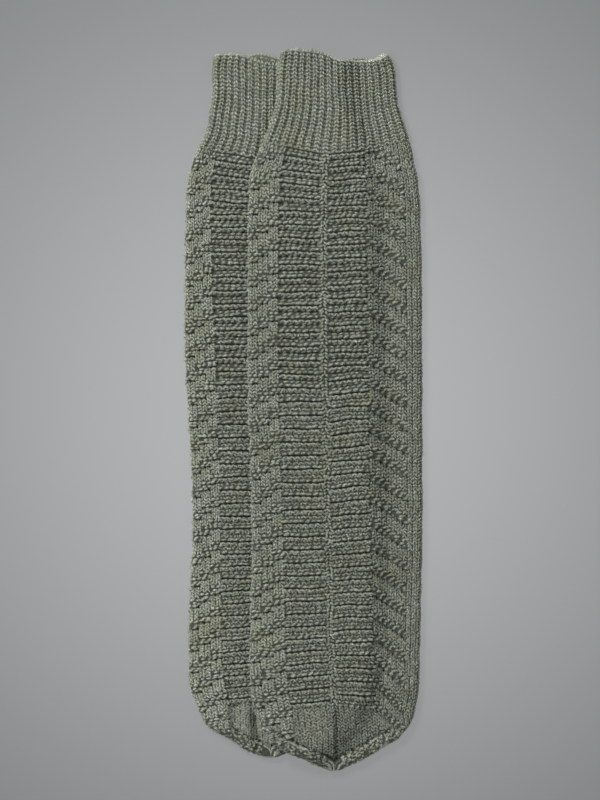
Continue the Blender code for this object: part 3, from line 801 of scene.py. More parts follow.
    def edge_route(self) -> tuple[Array, Array]:
        """Walk down the outline's right side and round the toe to its left side.

        Returns:
            X and Y of the points.
        """
        inside = (self.y >= self.table.tip) & (self.y <= self.rim_top)
        toe = inside & (self.y < self.table.toe_start)
        x = np.concatenate([self.right[inside], self.left[toe]])
        return x, np.concatenate([self.y[inside], self.y[toe]])


class Drape:
    """Height of the upper sock's underside, which rides over the lower sock and comes down beside it."""

    PITCH = 1.5
    REACH = 90.0
    MARGIN = 20.0
    LAST_CELL = 1.001

    def __init__(self, lower: SockForm) -> None:
        """Tabulate the height on a grid.

        Args:
            lower: the sock underneath.
        """
        self.x = np.arange(-self.REACH, self.REACH, self.PITCH)
        self.y = np.arange(lower.table.tip - self.MARGIN, lower.rim_top + self.MARGIN, self.PITCH)
        edge_x, edge_y = lower.edge_route()
        self.height = np.zeros((len(self.y), len(self.x)))
        for row, y in enumerate(self.y):
            near = np.hypot(self.x[:, None] - edge_x, y - edge_y).min(axis=1)
            left, right = lower.look_up(y, "left", "right")
            over = (self.x <= right) & (y >= lower.table.tip)
            over &= (self.x >= left) | (y > lower.table.toe_start)
            down = smooth(near, CLOTH.ramp_start, CLOTH.ramp_start + CLOTH.ramp)
            self.height[row] = CLOTH.ride_height * np.where(over, 1.0, 1.0 - down)

    def at(self, x: Array, y: Array) -> Array:
        """Look up the grid.

        Args:
            x: X of each point.
            y: Y of each point.

        Returns:
            Height of the underside at each point.
        """
        across = np.clip((x - self.x[0]) / self.PITCH, 0, len(self.x) - self.LAST_CELL)
        along = np.clip((y - self.y[0]) / self.PITCH, 0, len(self.y) - self.LAST_CELL)
        i = across.astype(int)
        j = along.astype(int)
        u = across - i
        v = along - j
        low = self.height[j, i] * (1 - u) + self.height[j, i + 1] * u
        high = self.height[j + 1, i] * (1 - u) + self.height[j + 1, i + 1] * u
        return low * (1 - v) + high * v


class Flat:
    """The surface that the lower sock lies on."""

    def at(self, x: Array, y: Array) -> Array:
        """Height of the underside, which is nothing anywhere."""
        return 0.0 * x


class StitchChart:
    """Which stitch stands where, row by row, each a little different from the next."""

    FIELDS = Bump._fields
    EVEN = (Stitch.KNIT, Stitch.RIB_KNIT)

    def __init__(self, kinds: list[list[Stitch]], seed: int, jitter: float = 1.0) -> None:
        """Set the strands of each stitch and vary them.

        Args:
            kinds: the stitches of each row, from left to right.
            seed: seed of the random draw.
            jitter: how many times more uneven than elsewhere the stitches are.
        """
        # A stitch of one strand has an empty second one: it is never high enough to show.
        empty = Bump(0.0, 0.0, 1.0, 1.0, 0.0, 0.0)
        strands = np.array([[(kind.value + (empty,))[:2] for kind in row] for row in kinds])
        shape = strands.shape[:-1]
        self.fields = {name: strands[..., number] for number, name in enumerate(self.FIELDS)}
        draw = np.random.default_rng(seed)
        own = [[RELIEF.knit_jitter if kind in self.EVEN else 1.0 for kind in row] for row in kinds]
        uneven = np.array(own)[..., None]
        slide = np.where(uneven == 1.0, draw.normal(0, RELIEF.row_slide, (shape[0], 1, 1)), 0.0)
        spreads = (RELIEF.jitter_place, RELIEF.jitter_place, RELIEF.jitter_size, RELIEF.jitter_size,
                   RELIEF.jitter_tilt, RELIEF.jitter_lift)
        for name, spread in zip(self.FIELDS, spreads):
            change = uneven * jitter * draw.normal(0, spread, shape)
            if name in ("across", "down", "tilt"):
                self.fields[name] += change
            else:
                self.fields[name] *= 1 + change
        self.fields["across"] += slide
        self.tone = draw.uniform(0, 1, shape)

    def dome(
        self, u: Array, v: Array, width: "Array | float", height: "Array | float"
    ) -> tuple[Array, Array]:
        """The yarn over each point.

        Args:
            u: place among the stitches of a row.
            v: place among the rows.
            width: width of a stitch at each point, in millimetres.
            height: height of a row at each point, in millimetres.

        Returns:
            How high the yarn stands, from 0 to about 1, and for the strand on top its own two
            coordinates in millimetres and its tone.
        """
        rows, stitches = self.tone.shape[:2]
        best = np.zeros(u.shape)
        yarn = np.zeros(u.shape + (3,))
        here = np.clip(np.floor(v).astype(int), 0, rows - 1)
        mid = np.clip(np.floor(u).astype(int), 0, stitches - 1)
        for down in (-1, 0, 1):
            k = np.clip(here + down, 0, rows - 1)
            real_row = here + down == k
            for side in (-1, 0, 1):
                i = np.clip(mid + side, 0, stitches - 1)
                real = real_row & (mid + side == i)
                for slot in (0, 1):
                    f = {name: self.fields[name][k, i, slot] for name in self.FIELDS}
                    x = (u - i - f["across"]) * width
                    y = (v - k - f["down"]) * height
                    tilt = np.radians(f["tilt"])
                    a = x * np.cos(tilt) + y * np.sin(tilt)
                    b = y * np.cos(tilt) - x * np.sin(tilt)
                    inside = 1 - (a / f["half_length"]) ** 2 - (b / f["half_width"]) ** 2
                    rise = np.where(real, f["lift"] * np.sqrt(np.clip(inside, 0, None)), 0.0)
                    higher = rise > best
                    best = np.where(higher, rise, best)
                    strand = np.stack([a, b, self.tone[k, i, slot]], axis=-1)
                    yarn = np.where(higher[..., None], strand, yarn)
        return best, yarn


def leg_stitch(table: SockTable, row: int, middle: float) -> Stitch:
    """The kind of one stitch of the leg or toe.

    Args:
        table: the sock's tables.
        row: its row, counted from the cuff.
        middle: its middle, counted in stitches from the ladder's middle.

    Returns:
        The kind of stitch.
    """
    outward = abs(middle)
    past = row - table.leg_rows
    if outward > GAUGE.band_edge:
        return Stitch.KNIT
    if outward > GAUGE.welt_edge and past < GAUGE.toe_cell_rows:
        first = GAUGE.right_cell_row if middle > 0 else GAUGE.left_cell_row
        steps = outward - GAUGE.welt_edge
        diagonal = middle > 0 and row > sum(GAUGE.slanting_rows) / 2
        step = row - first - (math.floor(steps) if diagonal else 2 * math.floor(steps / 2))
        return CELL_STITCHES[step % len(CELL_STITCHES)]
    if outward < GAUGE.ladder_half:
        return Stitch.LADDER_LEFT if middle < 0 else Stitch.LADDER_RIGHT
    if past >= 0:
        return Stitch.KNIT
    shift = GAUGE.right_welt_shift if middle > 0 else 0
    welt = LOW_WELT_STITCHES if row > sum(GAUGE.low_welts) / 2 else WELT_STITCHES
    return welt[(row + shift) % GAUGE.rows_per_welt]


def leg_chart(table: SockTable) -> StitchChart:
    """Chart the leg and toe of a sock, one line for each knitted row.

    Args:
        table: the sock's tables.

    Returns:
        The chart.
    """
    middles = [GAUGE.first_stitch + number + 0.5 for number in range(GAUGE.stitches)]
    rows = range(table.leg_rows + GAUGE.toe_rows + 1)
    return StitchChart([[leg_stitch(table, row, middle) for middle in middles] for row in rows],
                       table.seed + Draw.LEG)


def cuff_chart(table: SockTable) -> StitchChart:
    """Chart of a cuff: one knit and one purl stitch for each rib, all the way up."""
    row = [Stitch.RIB_KNIT, Stitch.RIB_PURL] * GAUGE.ribs
    return StitchChart([list(row) for _ in range(GAUGE.cuff_rows)], table.seed + Draw.CUFF)


def profile(levels: Sequence[Level], share: Array) -> Array:
    """Height of a repeating profile at each share of its repeat."""
    return np.interp(share % 1.0, [level.share for level in levels], [level.height for level in levels])


def leg_pattern(table: SockTable, stitch: Array, row: Array) -> Array:
    """Height of the leg's panels over the plain skin.

    Args:
        table: the sock's tables.
        stitch: place across, from the ladder's middle.
        row: place down, from the cuff's base.

    Returns:
        Height in millimetres at each point.
    """
    outward = np.abs(stitch)
    shift = np.where(stitch > 0, GAUGE.right_welt_shift, 0)
    share = (row + shift) / GAUGE.rows_per_welt
    low = smooth(row, *GAUGE.low_welts)
    welt = profile(WELT_LEVELS, share) * (1 - low) + profile(LOW_WELT_LEVELS, share) * low
    past = row - table.leg_rows
    welt = welt * (1 - smooth(past, -GAUGE.row_blend, GAUGE.row_blend))
    steps = outward - GAUGE.welt_edge
    whole = np.floor(steps / 2)
    stair = 2 * whole + 2 * smooth(steps / 2 - whole, RELIEF.cell_stair, 1.0)
    edge = stair + RELIEF.cell_slant * (steps - 1 - stair)
    diagonal = smooth(row, *GAUGE.slanting_rows) * (stitch > 0)
    edge = edge + (steps - 0.5 - edge) * diagonal
    first = np.where(stitch > 0, GAUGE.right_cell_row, GAUGE.left_cell_row)
    cell = profile(CELL_LEVELS, (row - first - edge) / len(CELL_STITCHES))
    cell = cell * (1 - smooth(past - GAUGE.toe_cell_rows, -GAUGE.row_blend, GAUGE.row_blend))
    cell = cell * (1 - RELIEF.toe_cells * smooth(past, *GAUGE.toe_blend))
    cell = cell * np.where(stitch > 0, RELIEF.right_cells + (1 - RELIEF.right_cells) * low, 1.0)
    ladder = np.where(row < table.leg_rows, RELIEF.ladder, 0.0)
    height = ladder + (welt - ladder) * smooth(outward, *GAUGE.ladder_blend)
    height = height + (cell - height) * smooth(steps, -GAUGE.panel_blend, GAUGE.panel_blend)
    band = smooth(stitch - GAUGE.band_edge, -GAUGE.panel_blend, GAUGE.panel_blend)
    height = height + (RELIEF.band - height) * band
    for groove in (GAUGE.band_edge, GAUGE.band_edge + 1.0):
        height = height + RELIEF.band_groove * np.exp(-(((stitch - groove) / RELIEF.groove_stitches) ** 2))
    return height * smooth(row, 0.0, GAUGE.first_row)


def rib_pattern(stitch: Array) -> Array:
    """Height of the cuff's ribs over the plain skin.

    Args:
        stitch: place across, where even stitches are the knit ones.

    Returns:
        Height in millimetres at each point.
    """
    knit = stitch % 2.0
    ridge = smooth(knit, 0.0, RELIEF.rib_flank) * (1 - smooth(knit, 1 - RELIEF.rib_flank, 1.0))
    return RELIEF.rib_valley + (RELIEF.rib_ridge - RELIEF.rib_valley) * ridge


class Skin:
    """A smooth grid of points down one part of a sock, on which the yarn is raised."""

    def __init__(
        self, form: SockForm, surface: "Drape | Flat", columns: list[Column], ladder_y: Array, climb: Array
    ) -> None:
        """Place the smooth grid.

        Args:
            form: the sock's form.
            surface: what the sock lies on.
            columns: columns of points, once round the tube.
            ladder_y: height at the ladder of each ring of points.
            climb: share of the way up the cuff of each ring.
        """
        self.form = form
        self.columns = columns
        rings = len(ladder_y)
        shape = (rings, len(columns))
        x, y, z = np.zeros(shape), np.zeros(shape), np.zeros(shape)
        for number, column in enumerate(columns):
            x[:, number], y[:, number] = form.row_place(column, ladder_y, climb)
            z[:, number] = self.level(column)
        side, up, high = (Waves(form.table.seed + draw, RELIEF.wobble_length)
                          for draw in (Draw.WAVES_ACROSS, Draw.WAVES_ALONG, Draw.WAVES_UP))
        top = np.clip(z / CLOTH.radius - 1, 0.0, 1.0)
        z += top * (form.top_change(x, y) + RELIEF.wobble_high * high.at(x, y))
        z += surface.at(x, y)
        self.x = x + RELIEF.wobble_side * side.at(x, y)
        self.y = y + RELIEF.wobble_up * up.at(x, y)
        self.z = z

    @staticmethod
    def level(column: Column) -> float:
        """How high a column lies.

        Args:
            column: the column of points.

        Returns:
            Its height over the underside.
        """
        if column.turned:
            return CLOTH.radius * (1 + math.sin(math.radians(column.at)))
        return 0.0 if column.place is Place.SHARE_UNDER else 2 * CLOTH.radius

    def points(self) -> Array:
        """All points, ring by ring."""
        return np.stack([self.x, self.y, self.z], axis=-1)

    def outward(self) -> Array:
        """Work out which way is out.

        Returns:
            Unit direction away from the cloth at each point.
        """
        points = self.points()
        down = np.gradient(points, axis=0)
        round_it = np.roll(points, -1, axis=1) - np.roll(points, 1, axis=1)
        normal = np.cross(down, round_it)
        return normal / np.maximum(np.linalg.norm(normal, axis=-1, keepdims=True), TINY)

    def fade(self) -> Array:
        """Fade the relief out towards the flat underside.

        Returns:
            How much of it each column carries.
        """
        turns = np.array([column.at if column.turned else FOLD_TOP for column in self.columns])
        raised = np.array([column.stitch is not None for column in self.columns])
        return raised * smooth(turns, GAUGE.fold_turn, GAUGE.fold_full)

    def raised(self, relief: Array) -> Array:
        """Raise the grid, and let nothing sink into the table.

        Args:
            relief: how much each point is raised.

        Returns:
            The raised points.
        """
        points = self.points() + self.outward() * relief[..., None]
        points[..., 2] = np.maximum(points[..., 2], 0.0)
        return points

    def inner_shares(self) -> tuple[Array, Array]:
        """Spread the columns over the plain inside.

        Returns:
            Whether each column's point lies over the pocket, and how far across it lies.
        """
        last = len(self.columns) - 1
        first_back = self.columns.index(Column(Place.RIGHT_FOLD, GAUGE.back_turn))
        number = np.arange(last + 1)
        over = number < first_back
        return over, np.where(over, number / (first_back - 1), (last - number) / (last - first_back))

    def stitches(self) -> Array:
        """Place of each column among the fine stitches."""
        return np.array([0.0 if column.stitch is None else column.stitch for column in self.columns])


def leg_columns(table: SockTable) -> list[Column]:
    """Columns round the leg and toe: fine stitches over the front, a few on the plain back.

    Args:
        table: the sock's tables.

    Returns:
        The columns from the left fold over the front and back underneath.
    """
    columns = []
    last = GAUGE.first_stitch + GAUGE.stitches
    left_turn = (FOLD_TOP - GAUGE.fold_turn) / (GAUGE.left_top - GAUGE.first_stitch)
    right_turn = (FOLD_TOP - GAUGE.fold_turn) / (last - GAUGE.right_top)
    for number in range(GAUGE.stitches * GAUGE.columns_per_stitch + 1):
        along = number / GAUGE.columns_per_stitch
        stitch = GAUGE.first_stitch + along
        if stitch < GAUGE.left_top:
            turn = FOLD_TOP - (GAUGE.left_top - stitch) * left_turn
            columns.append(Column(Place.LEFT_FOLD, turn, along))
        elif stitch > GAUGE.right_top:
            turn = FOLD_TOP - (stitch - GAUGE.right_top) * right_turn
            columns.append(Column(Place.RIGHT_FOLD, turn, along))
        else:
            columns.append(Column(Place.STITCH, stitch, along))
    return columns + back_columns(DRAPED_BACK if table.rides else FLAT_BACK)


def back_columns(shares: Sequence[float]) -> list[Column]:
    """Columns of the plain back, from the right fold to the left fold.

    Args:
        shares: how far across each one stands.

    Returns:
        The columns.
    """
    turns = [Column(place, GAUGE.back_turn) for place in (Place.RIGHT_FOLD, Place.LEFT_FOLD)]
    return [turns[0], *(Column(Place.SHARE_UNDER, float(share)) for share in shares), turns[1]]


def cuff_columns(form: SockForm) -> list[Column]:
    """Columns round the cuff, evenly spaced over the front and both folds.

    Args:
        form: the sock's form.

    Returns:
        The columns from the left fold over the front and back underneath.
    """
    left, right, left_fold, right_fold = (float(v) for v in form.edges(GAUGE.narrow_cuff_y))
    flat = right - right_fold - left - left_fold
    bend = math.radians(FOLD_TOP - GAUGE.fold_turn) * CLOTH.radius
    length = flat + 2 * bend
    count = 2 * GAUGE.ribs * GAUGE.columns_per_stitch
    columns = []
    for number in range(count + 1):
        along = length * number / count
        rib = GAUGE.ribs * number / count
        share = rib % 1.0
        knit = GAUGE.rib_knit_share
        within = share / knit if share < knit else 1 + (share - knit) / (1 - knit)
        stitch = 2 * math.floor(rib) + within
        turn = GAUGE.fold_turn + math.degrees(min(along, length - along) / CLOTH.radius)
        if along < bend:
            columns.append(Column(Place.LEFT_FOLD, turn, stitch))
        elif along > length - bend:
            columns.append(Column(Place.RIGHT_FOLD, turn, stitch))
        else:
            columns.append(Column(Place.SHARE_TOP, (along - bend) / flat, stitch))
    return columns + back_columns(np.linspace(1.0, 0.0, GAUGE.ribs * GAUGE.back_columns_per_rib + 1))


def build_mesh(name: str, points: Array, quads: Array, triangles: Array) -> bpy.types.Object:
    """A smooth-shaded mesh object from arrays.

    Args:
        name: name of the object.
        points: points in millimetres, in the tables' frame.
        quads: four point numbers a row.
        triangles: three point numbers a row.

    Returns:
        The object, at the origin.
    """
    moved = (points - np.array([CLOTH.middle_x, CLOTH.middle_y, 0.0])) * METRES
    mesh = bpy.data.meshes.new(name)
    mesh.vertices.add(len(moved))
    mesh.vertices.foreach_set("co", moved.astype(np.float32).ravel())
    corners = np.concatenate([quads.ravel(), triangles.ravel()]).astype(np.int32)
    mesh.loops.add(len(corners))
    mesh.loops.foreach_set("vertex_index", corners)
    quad_starts = np.arange(len(quads)) * 4
    triangle_starts = len(quads) * 4 + np.arange(len(triangles)) * 3
    starts = np.concatenate([quad_starts, triangle_starts]).astype(np.int32)
    mesh.polygons.add(len(starts))
    mesh.polygons.foreach_set("loop_start", starts)
    mesh.update(calc_edges=True)
    mesh.validate()
    mesh.shade_smooth()
    piece = bpy.data.objects.new(name, mesh)
    bpy.context.scene.collection.objects.link(piece)
    return piece


def spread(start: int, end: int, count: int) -> Array:
    """Numbers of a few rings, evenly spread from one to another."""
    return np.linspace(start, end, count).round().astype(int)


def running_length(points: Array) -> Array:
    """How far along a line each of its points lies."""
    steps = np.linalg.norm(np.diff(points, axis=0), axis=1)
    return np.concatenate([[0.0], np.cumsum(steps)])


def ring_quads(rings: int, width: int, closed: bool) -> Array:
    """Quads between rings of points that go once round a tube.

    Args:
        rings: how many rings there are.
        width: points in a ring.
        closed: whether the last ring joins the first one.

    Returns:
        Four point numbers a row.
    """
    ring = np.arange(rings if closed else rings - 1)[:, None]
    spot = np.arange(width)[None, :]
    after = (ring + 1) % rings
    beside = (spot + 1) % width
    quads = (ring * width + spot, after * width + spot, after * width + beside, ring * width + beside)
    return np.stack(quads, axis=-1).reshape(-1, 4)


class Knitting(NamedTuple):
    """A part of a sock with its yarn raised: ring by ring, a value for each column."""

    skin: Skin
    points: Array
    yarn: Array
    # How deep each point lies in painted shade, in the gaps between strands, the furrows and the creases.
    gap: Array


class Sock:
    """One sock: cuff, upper leg, lower leg and toe."""

    INNER_RINGS = 9
    END_RINGS = 5
    TIP_TURNS = (30.0, 60.0)
    TOE_INSIDE = 0.6

    def __init__(self, table: SockTable, surface: "Drape | Flat", wool: bpy.types.Material) -> None:
        """Take the sock's tables.

        Args:
            table: the sock's tables.
            surface: what it lies on.
            wool: its material.
        """
        self.table = table
        self.surface = surface
        self.wool = wool
        self.form = SockForm(table)
        self.roots: list[Array] = []
        self.ways: list[Array] = []

    def raise_leg(self) -> Knitting:
        """Knit the leg and the toe.

        Returns:
            Their skin with the yarn raised.
        """
        table = self.table
        columns = leg_columns(table)
        if table.hidden_from is not None:
            columns = self.thin_out(columns)
        rows = table.leg_rows + GAUGE.toe_rows
        row = np.arange(rows * GAUGE.rings_per_row + 1) / GAUGE.rings_per_row
        toe = np.clip((row - table.leg_rows) / GAUGE.toe_rows, 0.0, 1.0)
        ladder_y = Curve(table.spacing, "welts", "ladder_y").at(row / GAUGE.rows_per_welt)
        ladder_y = ladder_y + toe * (table.tip - table.toe_start)
        skin = Skin(self.form, self.surface, columns, ladder_y, 0.0 * ladder_y)
        u, v = np.meshgrid(skin.stitches(), row)
        in_toe = v >= table.leg_rows
        u = np.where(in_toe, self.toe_stitches(skin), u)
        stitch = u + GAUGE.first_stitch
        on_ladder = np.abs(stitch) < GAUGE.ladder_half
        width = np.where(on_ladder, GAUGE.ladder_width / 2, GAUGE.stitch_width)
        dome, yarn = leg_chart(table).dome(u, v, width, np.abs(np.gradient(ladder_y, row))[:, None])
        pattern = leg_pattern(table, stitch, v)
        # Painted light on the left panel, which faces the lamps, and painted shade on the toe's right half,
        # which lies away from them; the right band is drawn darker.
        yarn[..., 2] += table.left_tone * (stitch < -GAUGE.welt_edge)
        yarn[..., 2] += RELIEF.band_tone * (stitch > GAUGE.band_edge)
        yarn[..., 2] += RELIEF.toe_tone * in_toe * (stitch > 0)
        self.toe_band(skin, in_toe, dome, yarn, pattern)
        fade = skin.fade() * smooth(v, 0.0, GAUGE.rim_fade)
        strength = RELIEF.yarn * np.where(in_toe, RELIEF.toe_yarn, 1.0)
        points = skin.raised((pattern + strength * (dome - RELIEF.floor)) * fade)
        # Painted shade between the strands and in the furrows, a little deeper along the ladder, and in the
        # narrow creases.
        gap = self.gaps(dome, pattern) * skin.fade() * np.where(on_ladder & ~in_toe, RELIEF.ladder_gap, 1.0)
        line = self.form.crease_depth(skin.x, skin.y, RELIEF.narrow_crease)
        return Knitting(skin, points, yarn, np.clip(gap + RELIEF.crease_gap * line * fade, 0.0, 1.0))

    def toe_stitches(self, skin: Skin) -> Array:
        """Let the columns of stitches run straight down the toe.

        Args:
            skin: the smooth skin.

        Returns:
            Place of each point among the stitches, counted as on the leg.
        """
        form, start = self.form, self.table.toe_start
        left, right, left_fold, right_fold = form.edges(skin.y)
        moved = form.look_up(skin.y, "ladder")[0] - form.look_up(start, "ladder")[0]
        x = np.clip(skin.x, left + left_fold, right - right_fold) - moved
        stitch = np.interp(x, form.panel_marks(start), STITCH_MARKS)
        for number, column in enumerate(skin.columns):
            if column.turned:
                beyond = math.radians(FOLD_TOP - column.at) * CLOTH.radius / GAUGE.stitch_width
                stitch[:, number] += beyond if column.place is Place.RIGHT_FOLD else -beyond
        return stitch - GAUGE.first_stitch

    def toe_band(self, skin: Skin, in_toe: Array, dome: Array, yarn: Array, pattern: Array) -> None:
        """Turn the stitches along the toe's slanting edges, where the decreases are.

        Args:
            skin: the smooth skin.
            in_toe: which points are on the toe.
            dome: height of the yarn, changed in place.
            yarn: the yarn's own coordinates, changed in place.
            pattern: height of the pattern, changed in place.
        """
        rings = np.flatnonzero(in_toe[:, 0])
        near, along = self.toe_edge(skin.x[rings], skin.y[rings])
        arc = CLOTH.radius * np.arccos(np.clip(1 - near / CLOTH.radius, 0.0, 1.0))
        arc += np.maximum(near - CLOTH.radius, 0.0)
        under = np.array([column.turned and column.at < 0 for column in skin.columns])
        arc = np.where(under, -arc, arc)
        kinds = [[kind] * TOE_BAND.stitches for kind in (Stitch.TOE_BAND, Stitch.TOE_BAND_TURNED)]
        chart = StitchChart(kinds * (TOE_BAND.rows // 2), self.table.seed + Draw.TOE_BAND, TOE_BAND.jitter)
        band_dome, band_yarn = chart.dome(
            TOE_BAND.middle + arc / TOE_BAND.stitch, along / TOE_BAND.row, TOE_BAND.stitch, TOE_BAND.row)
        low = 1 - smooth(skin.y[rings], TOE_BAND.top - TOE_BAND.fade, TOE_BAND.top)
        rise = TOE_BAND.rise * np.sin(np.clip(near / TOE_BAND.width, 0, 1) * math.pi)
        groove = TOE_BAND.groove * np.exp(-(((near - TOE_BAND.width) / TOE_BAND.groove_width) ** 2))
        inside = (low > 0.5) & (near < TOE_BAND.width)
        dome[rings] = np.where(inside, TOE_BAND.base + TOE_BAND.swell * band_dome, dome[rings])
        yarn[rings] = np.where(inside[..., None], band_yarn, yarn[rings])
        pattern[rings] = np.where(inside, rise * low, pattern[rings]) + groove * low

    def toe_edge(self, x: Array, y: Array) -> tuple[Array, Array]:
        """Measure how the toe's points lie to its slanting edges.

        Args:
            x: X of each point.
            y: Y of each point.

        Returns:
            Distance of each point from the nearer edge, and how far up from the tip it lies along that edge.
        """
        form, table = self.form, self.table
        near = np.full(x.shape, math.inf)
        along = np.zeros(x.shape)
        keep = (form.y <= table.toe_start + TOE_BAND.spare) & (form.y >= table.tip)
        for edge in (form.left, form.right):
            edge_x, edge_y = edge[keep][::-1], form.y[keep][::-1]
            run = running_length(np.stack([edge_x, edge_y], axis=-1))
            for px, py, length in zip(edge_x[::2], edge_y[::2], run[::2]):
                distance = np.hypot(x - px, y - py)
                along = np.where(distance < near, length, along)
                near = np.minimum(near, distance)
        return near, along

    def thin_out(self, columns: list[Column]) -> list[Column]:
        """Keep one column for each stitch where the other sock hides this one.

        Args:
            columns: all columns.

        Returns:
            Those that are kept.
        """
        limit = self.table.hidden_from - GAUGE.first_stitch
        return [column for number, column in enumerate(columns)
                if column.stitch is None or column.stitch <= limit or number % GAUGE.columns_per_stitch == 0]

    @staticmethod
    def gaps(dome: Array, pattern: Array) -> Array:
        """Paint shade into the gaps between the strands and into the pattern's furrows.

        Args:
            dome: height of the yarn.
            pattern: height of the pattern.

        Returns:
            How deep in painted shade each point lies, from 0 to 1.
        """
        # Painted shade: darkest where the yarn lies low between strands and where the pattern sinks into a
        # furrow.
        between_strands = 1 - smooth(dome, *RELIEF.strand_edge)
        furrow = 1 - smooth(pattern, *RELIEF.furrow_edge)
        return np.clip(between_strands * RELIEF.strand_gap + furrow * RELIEF.furrow_gap, 0.0, 1.0)

    @property
    def cuff_row(self) -> float:
        """Height of one row of the cuff."""
        return (self.form.rim_top - self.table.cuff_base) / GAUGE.cuff_rows

    def raise_cuff(self) -> Knitting:
        """Knit the cuff.

        Returns:
            Its skin with the yarn raised.
        """
        table = self.table
        row = np.arange(GAUGE.cuff_rows * GAUGE.rings_per_row + 1) / GAUGE.rings_per_row
        climb = (1 - row / GAUGE.cuff_rows) * (1 - CLOTH.rim_bulge / (self.form.rim_top - table.cuff_base))
        base = np.full(len(row), table.cuff_base)
        skin = Skin(self.form, self.surface, cuff_columns(self.form), base, climb)
        u, v = np.meshgrid(skin.stitches(), row)
        share = np.where(u % 2.0 < 1.0, GAUGE.rib_knit_share, 1 - GAUGE.rib_knit_share)
        dome, yarn = cuff_chart(table).dome(u, v, GAUGE.rib_width * share, self.cuff_row)
        # Painted light: the cuff's strands are drawn lighter.
        yarn[..., 2] += RELIEF.cuff_tone
        below = GAUGE.cuff_rows - v
        pattern = rib_pattern(u) * smooth(below, 0.0, GAUGE.rib_fade)
        fade = skin.fade() * smooth(below, 0.0, GAUGE.rim_fade) * smooth(v, *GAUGE.top_fade)
        points = skin.raised((pattern + RELIEF.yarn * (dome - RELIEF.floor)) * fade)
        # Painted shade between the cuff's strands, lighter than on the leg.
        return Knitting(skin, points, yarn, RELIEF.cuff_gap * self.gaps(dome, pattern) * skin.fade())

    def inside(self, skin: Skin, rings: Array) -> Array:
        """Rings of the plain inside that belong to some of the skin's rings.

        Args:
            skin: the smooth skin outside.
            rings: numbers of its rings.

        Returns:
            Points, ring by ring, with as many in a ring as the skin has.
        """
        over, share = skin.inner_shares()
        y = skin.y[rings]
        left, right, left_fold, right_fold = self.form.edges(y)
        low = left + left_fold
        x = low + share * (right - right_fold - low)
        z = CLOTH.radius + np.where(over, 1, -1) * CLOTH.pocket_gap / 2
        lift = np.clip((y - self.form.rim_top + CLOTH.mouth_reach) / CLOTH.mouth_reach, 0.0, 1.0) ** 2
        corner = np.minimum(1.0, CLOTH.mouth_corner * share * (1 - share))
        z = z + over * self.table.mouth_lift * lift * corner
        return np.stack([x, y, z + self.surface.at(x, y)], axis=-1)

    def tube(self, name: str, leg: Knitting, first: int, last: int) -> bpy.types.Object:
        """A closed wall from one ring of the leg to another.

        Args:
            name: name of the piece.
            leg: the knitted leg.
            first: number of the upper ring.
            last: number of the lower ring.

        Returns:
            The piece.
        """
        inner = self.inside(leg.skin, spread(last, first, self.INNER_RINGS))
        rings = np.concatenate([leg.points[first:last + 1], inner])
        strands = np.concatenate([leg.yarn[first:last + 1], self.plain_yarn(inner)])
        # Painted shade on the raised outside; the plain inside has none.
        shade_depths = np.concatenate([leg.gap[first:last + 1], np.zeros(inner.shape[:2])])
        return self.close_tube(name, rings, strands, shade_depths)

    def close_tube(self, name: str, rings: Array, strands: Array, shade_depths: Array) -> bpy.types.Object:
        """Make and dress a piece from rings that close on themselves.

        Args:
            name: name of the piece.
            rings: its points, ring by ring.
            strands: the yarn's coordinates at each point.
            shade_depths: depth of the painted shade in the gaps at each point.

        Returns:
            The piece.
        """
        quads = ring_quads(*rings.shape[:2], True)
        piece = build_mesh(name, rings.reshape(-1, 3), quads, np.zeros((0, 3), int))
        self.dress(piece, strands.reshape(-1, 3), shade_depths.ravel())
        return piece

    @staticmethod
    def plain_yarn(points: Array) -> Array:
        """Coordinates for the yarn where no single strand is raised.

        Args:
            points: the points.

        Returns:
            The place of each point on the cloth, with a middling tone.
        """
        strand = points.copy()
        strand[..., 2] = RELIEF.plain_tone
        return strand

    def cuff(self, name: str) -> tuple[bpy.types.Object, Knitting]:
        """The cuff, with stitches on the part of its back's inside that shows at the mouth.

        Args:
            name: name of the piece.

        Returns:
            The piece and its knitting.
        """
        cuff = self.raise_cuff()
        fine = GAUGE.mouth_rows * GAUGE.rings_per_row
        coarse = spread(len(cuff.points) - 1, fine + self.END_RINGS, self.END_RINGS)
        picked = np.concatenate([coarse, np.arange(fine, -1, -1)])
        inner = self.inside(cuff.skin, picked)
        over, share = cuff.skin.inner_shares()
        u, v = np.meshgrid(share * 2 * GAUGE.ribs + 1, picked / GAUGE.rings_per_row)
        dome, strand = cuff_chart(self.table).dome(u, v, GAUGE.rib_width / 2, self.cuff_row)
        shown = ~over * smooth(GAUGE.mouth_rows - v, 0.0, 1.0)
        inner[..., 2] += RELIEF.mouth * dome * shown
        strand = np.where(shown[..., None] > 0, strand, self.plain_yarn(inner))
        # Painted shade between the stitches inside the mouth.
        inner_shade = RELIEF.mouth_gap * (1 - smooth(dome, *RELIEF.mouth_edge)) * shown
        edge, edge_yarn, edge_shade = self.rounding(inner[-1], cuff.points[0])
        rings = np.concatenate([cuff.points, inner, edge])
        strands = np.concatenate([cuff.yarn, strand, edge_yarn])
        shade_depths = np.concatenate([cuff.gap, inner_shade, edge_shade])
        return self.close_tube(name, rings, strands, shade_depths), cuff

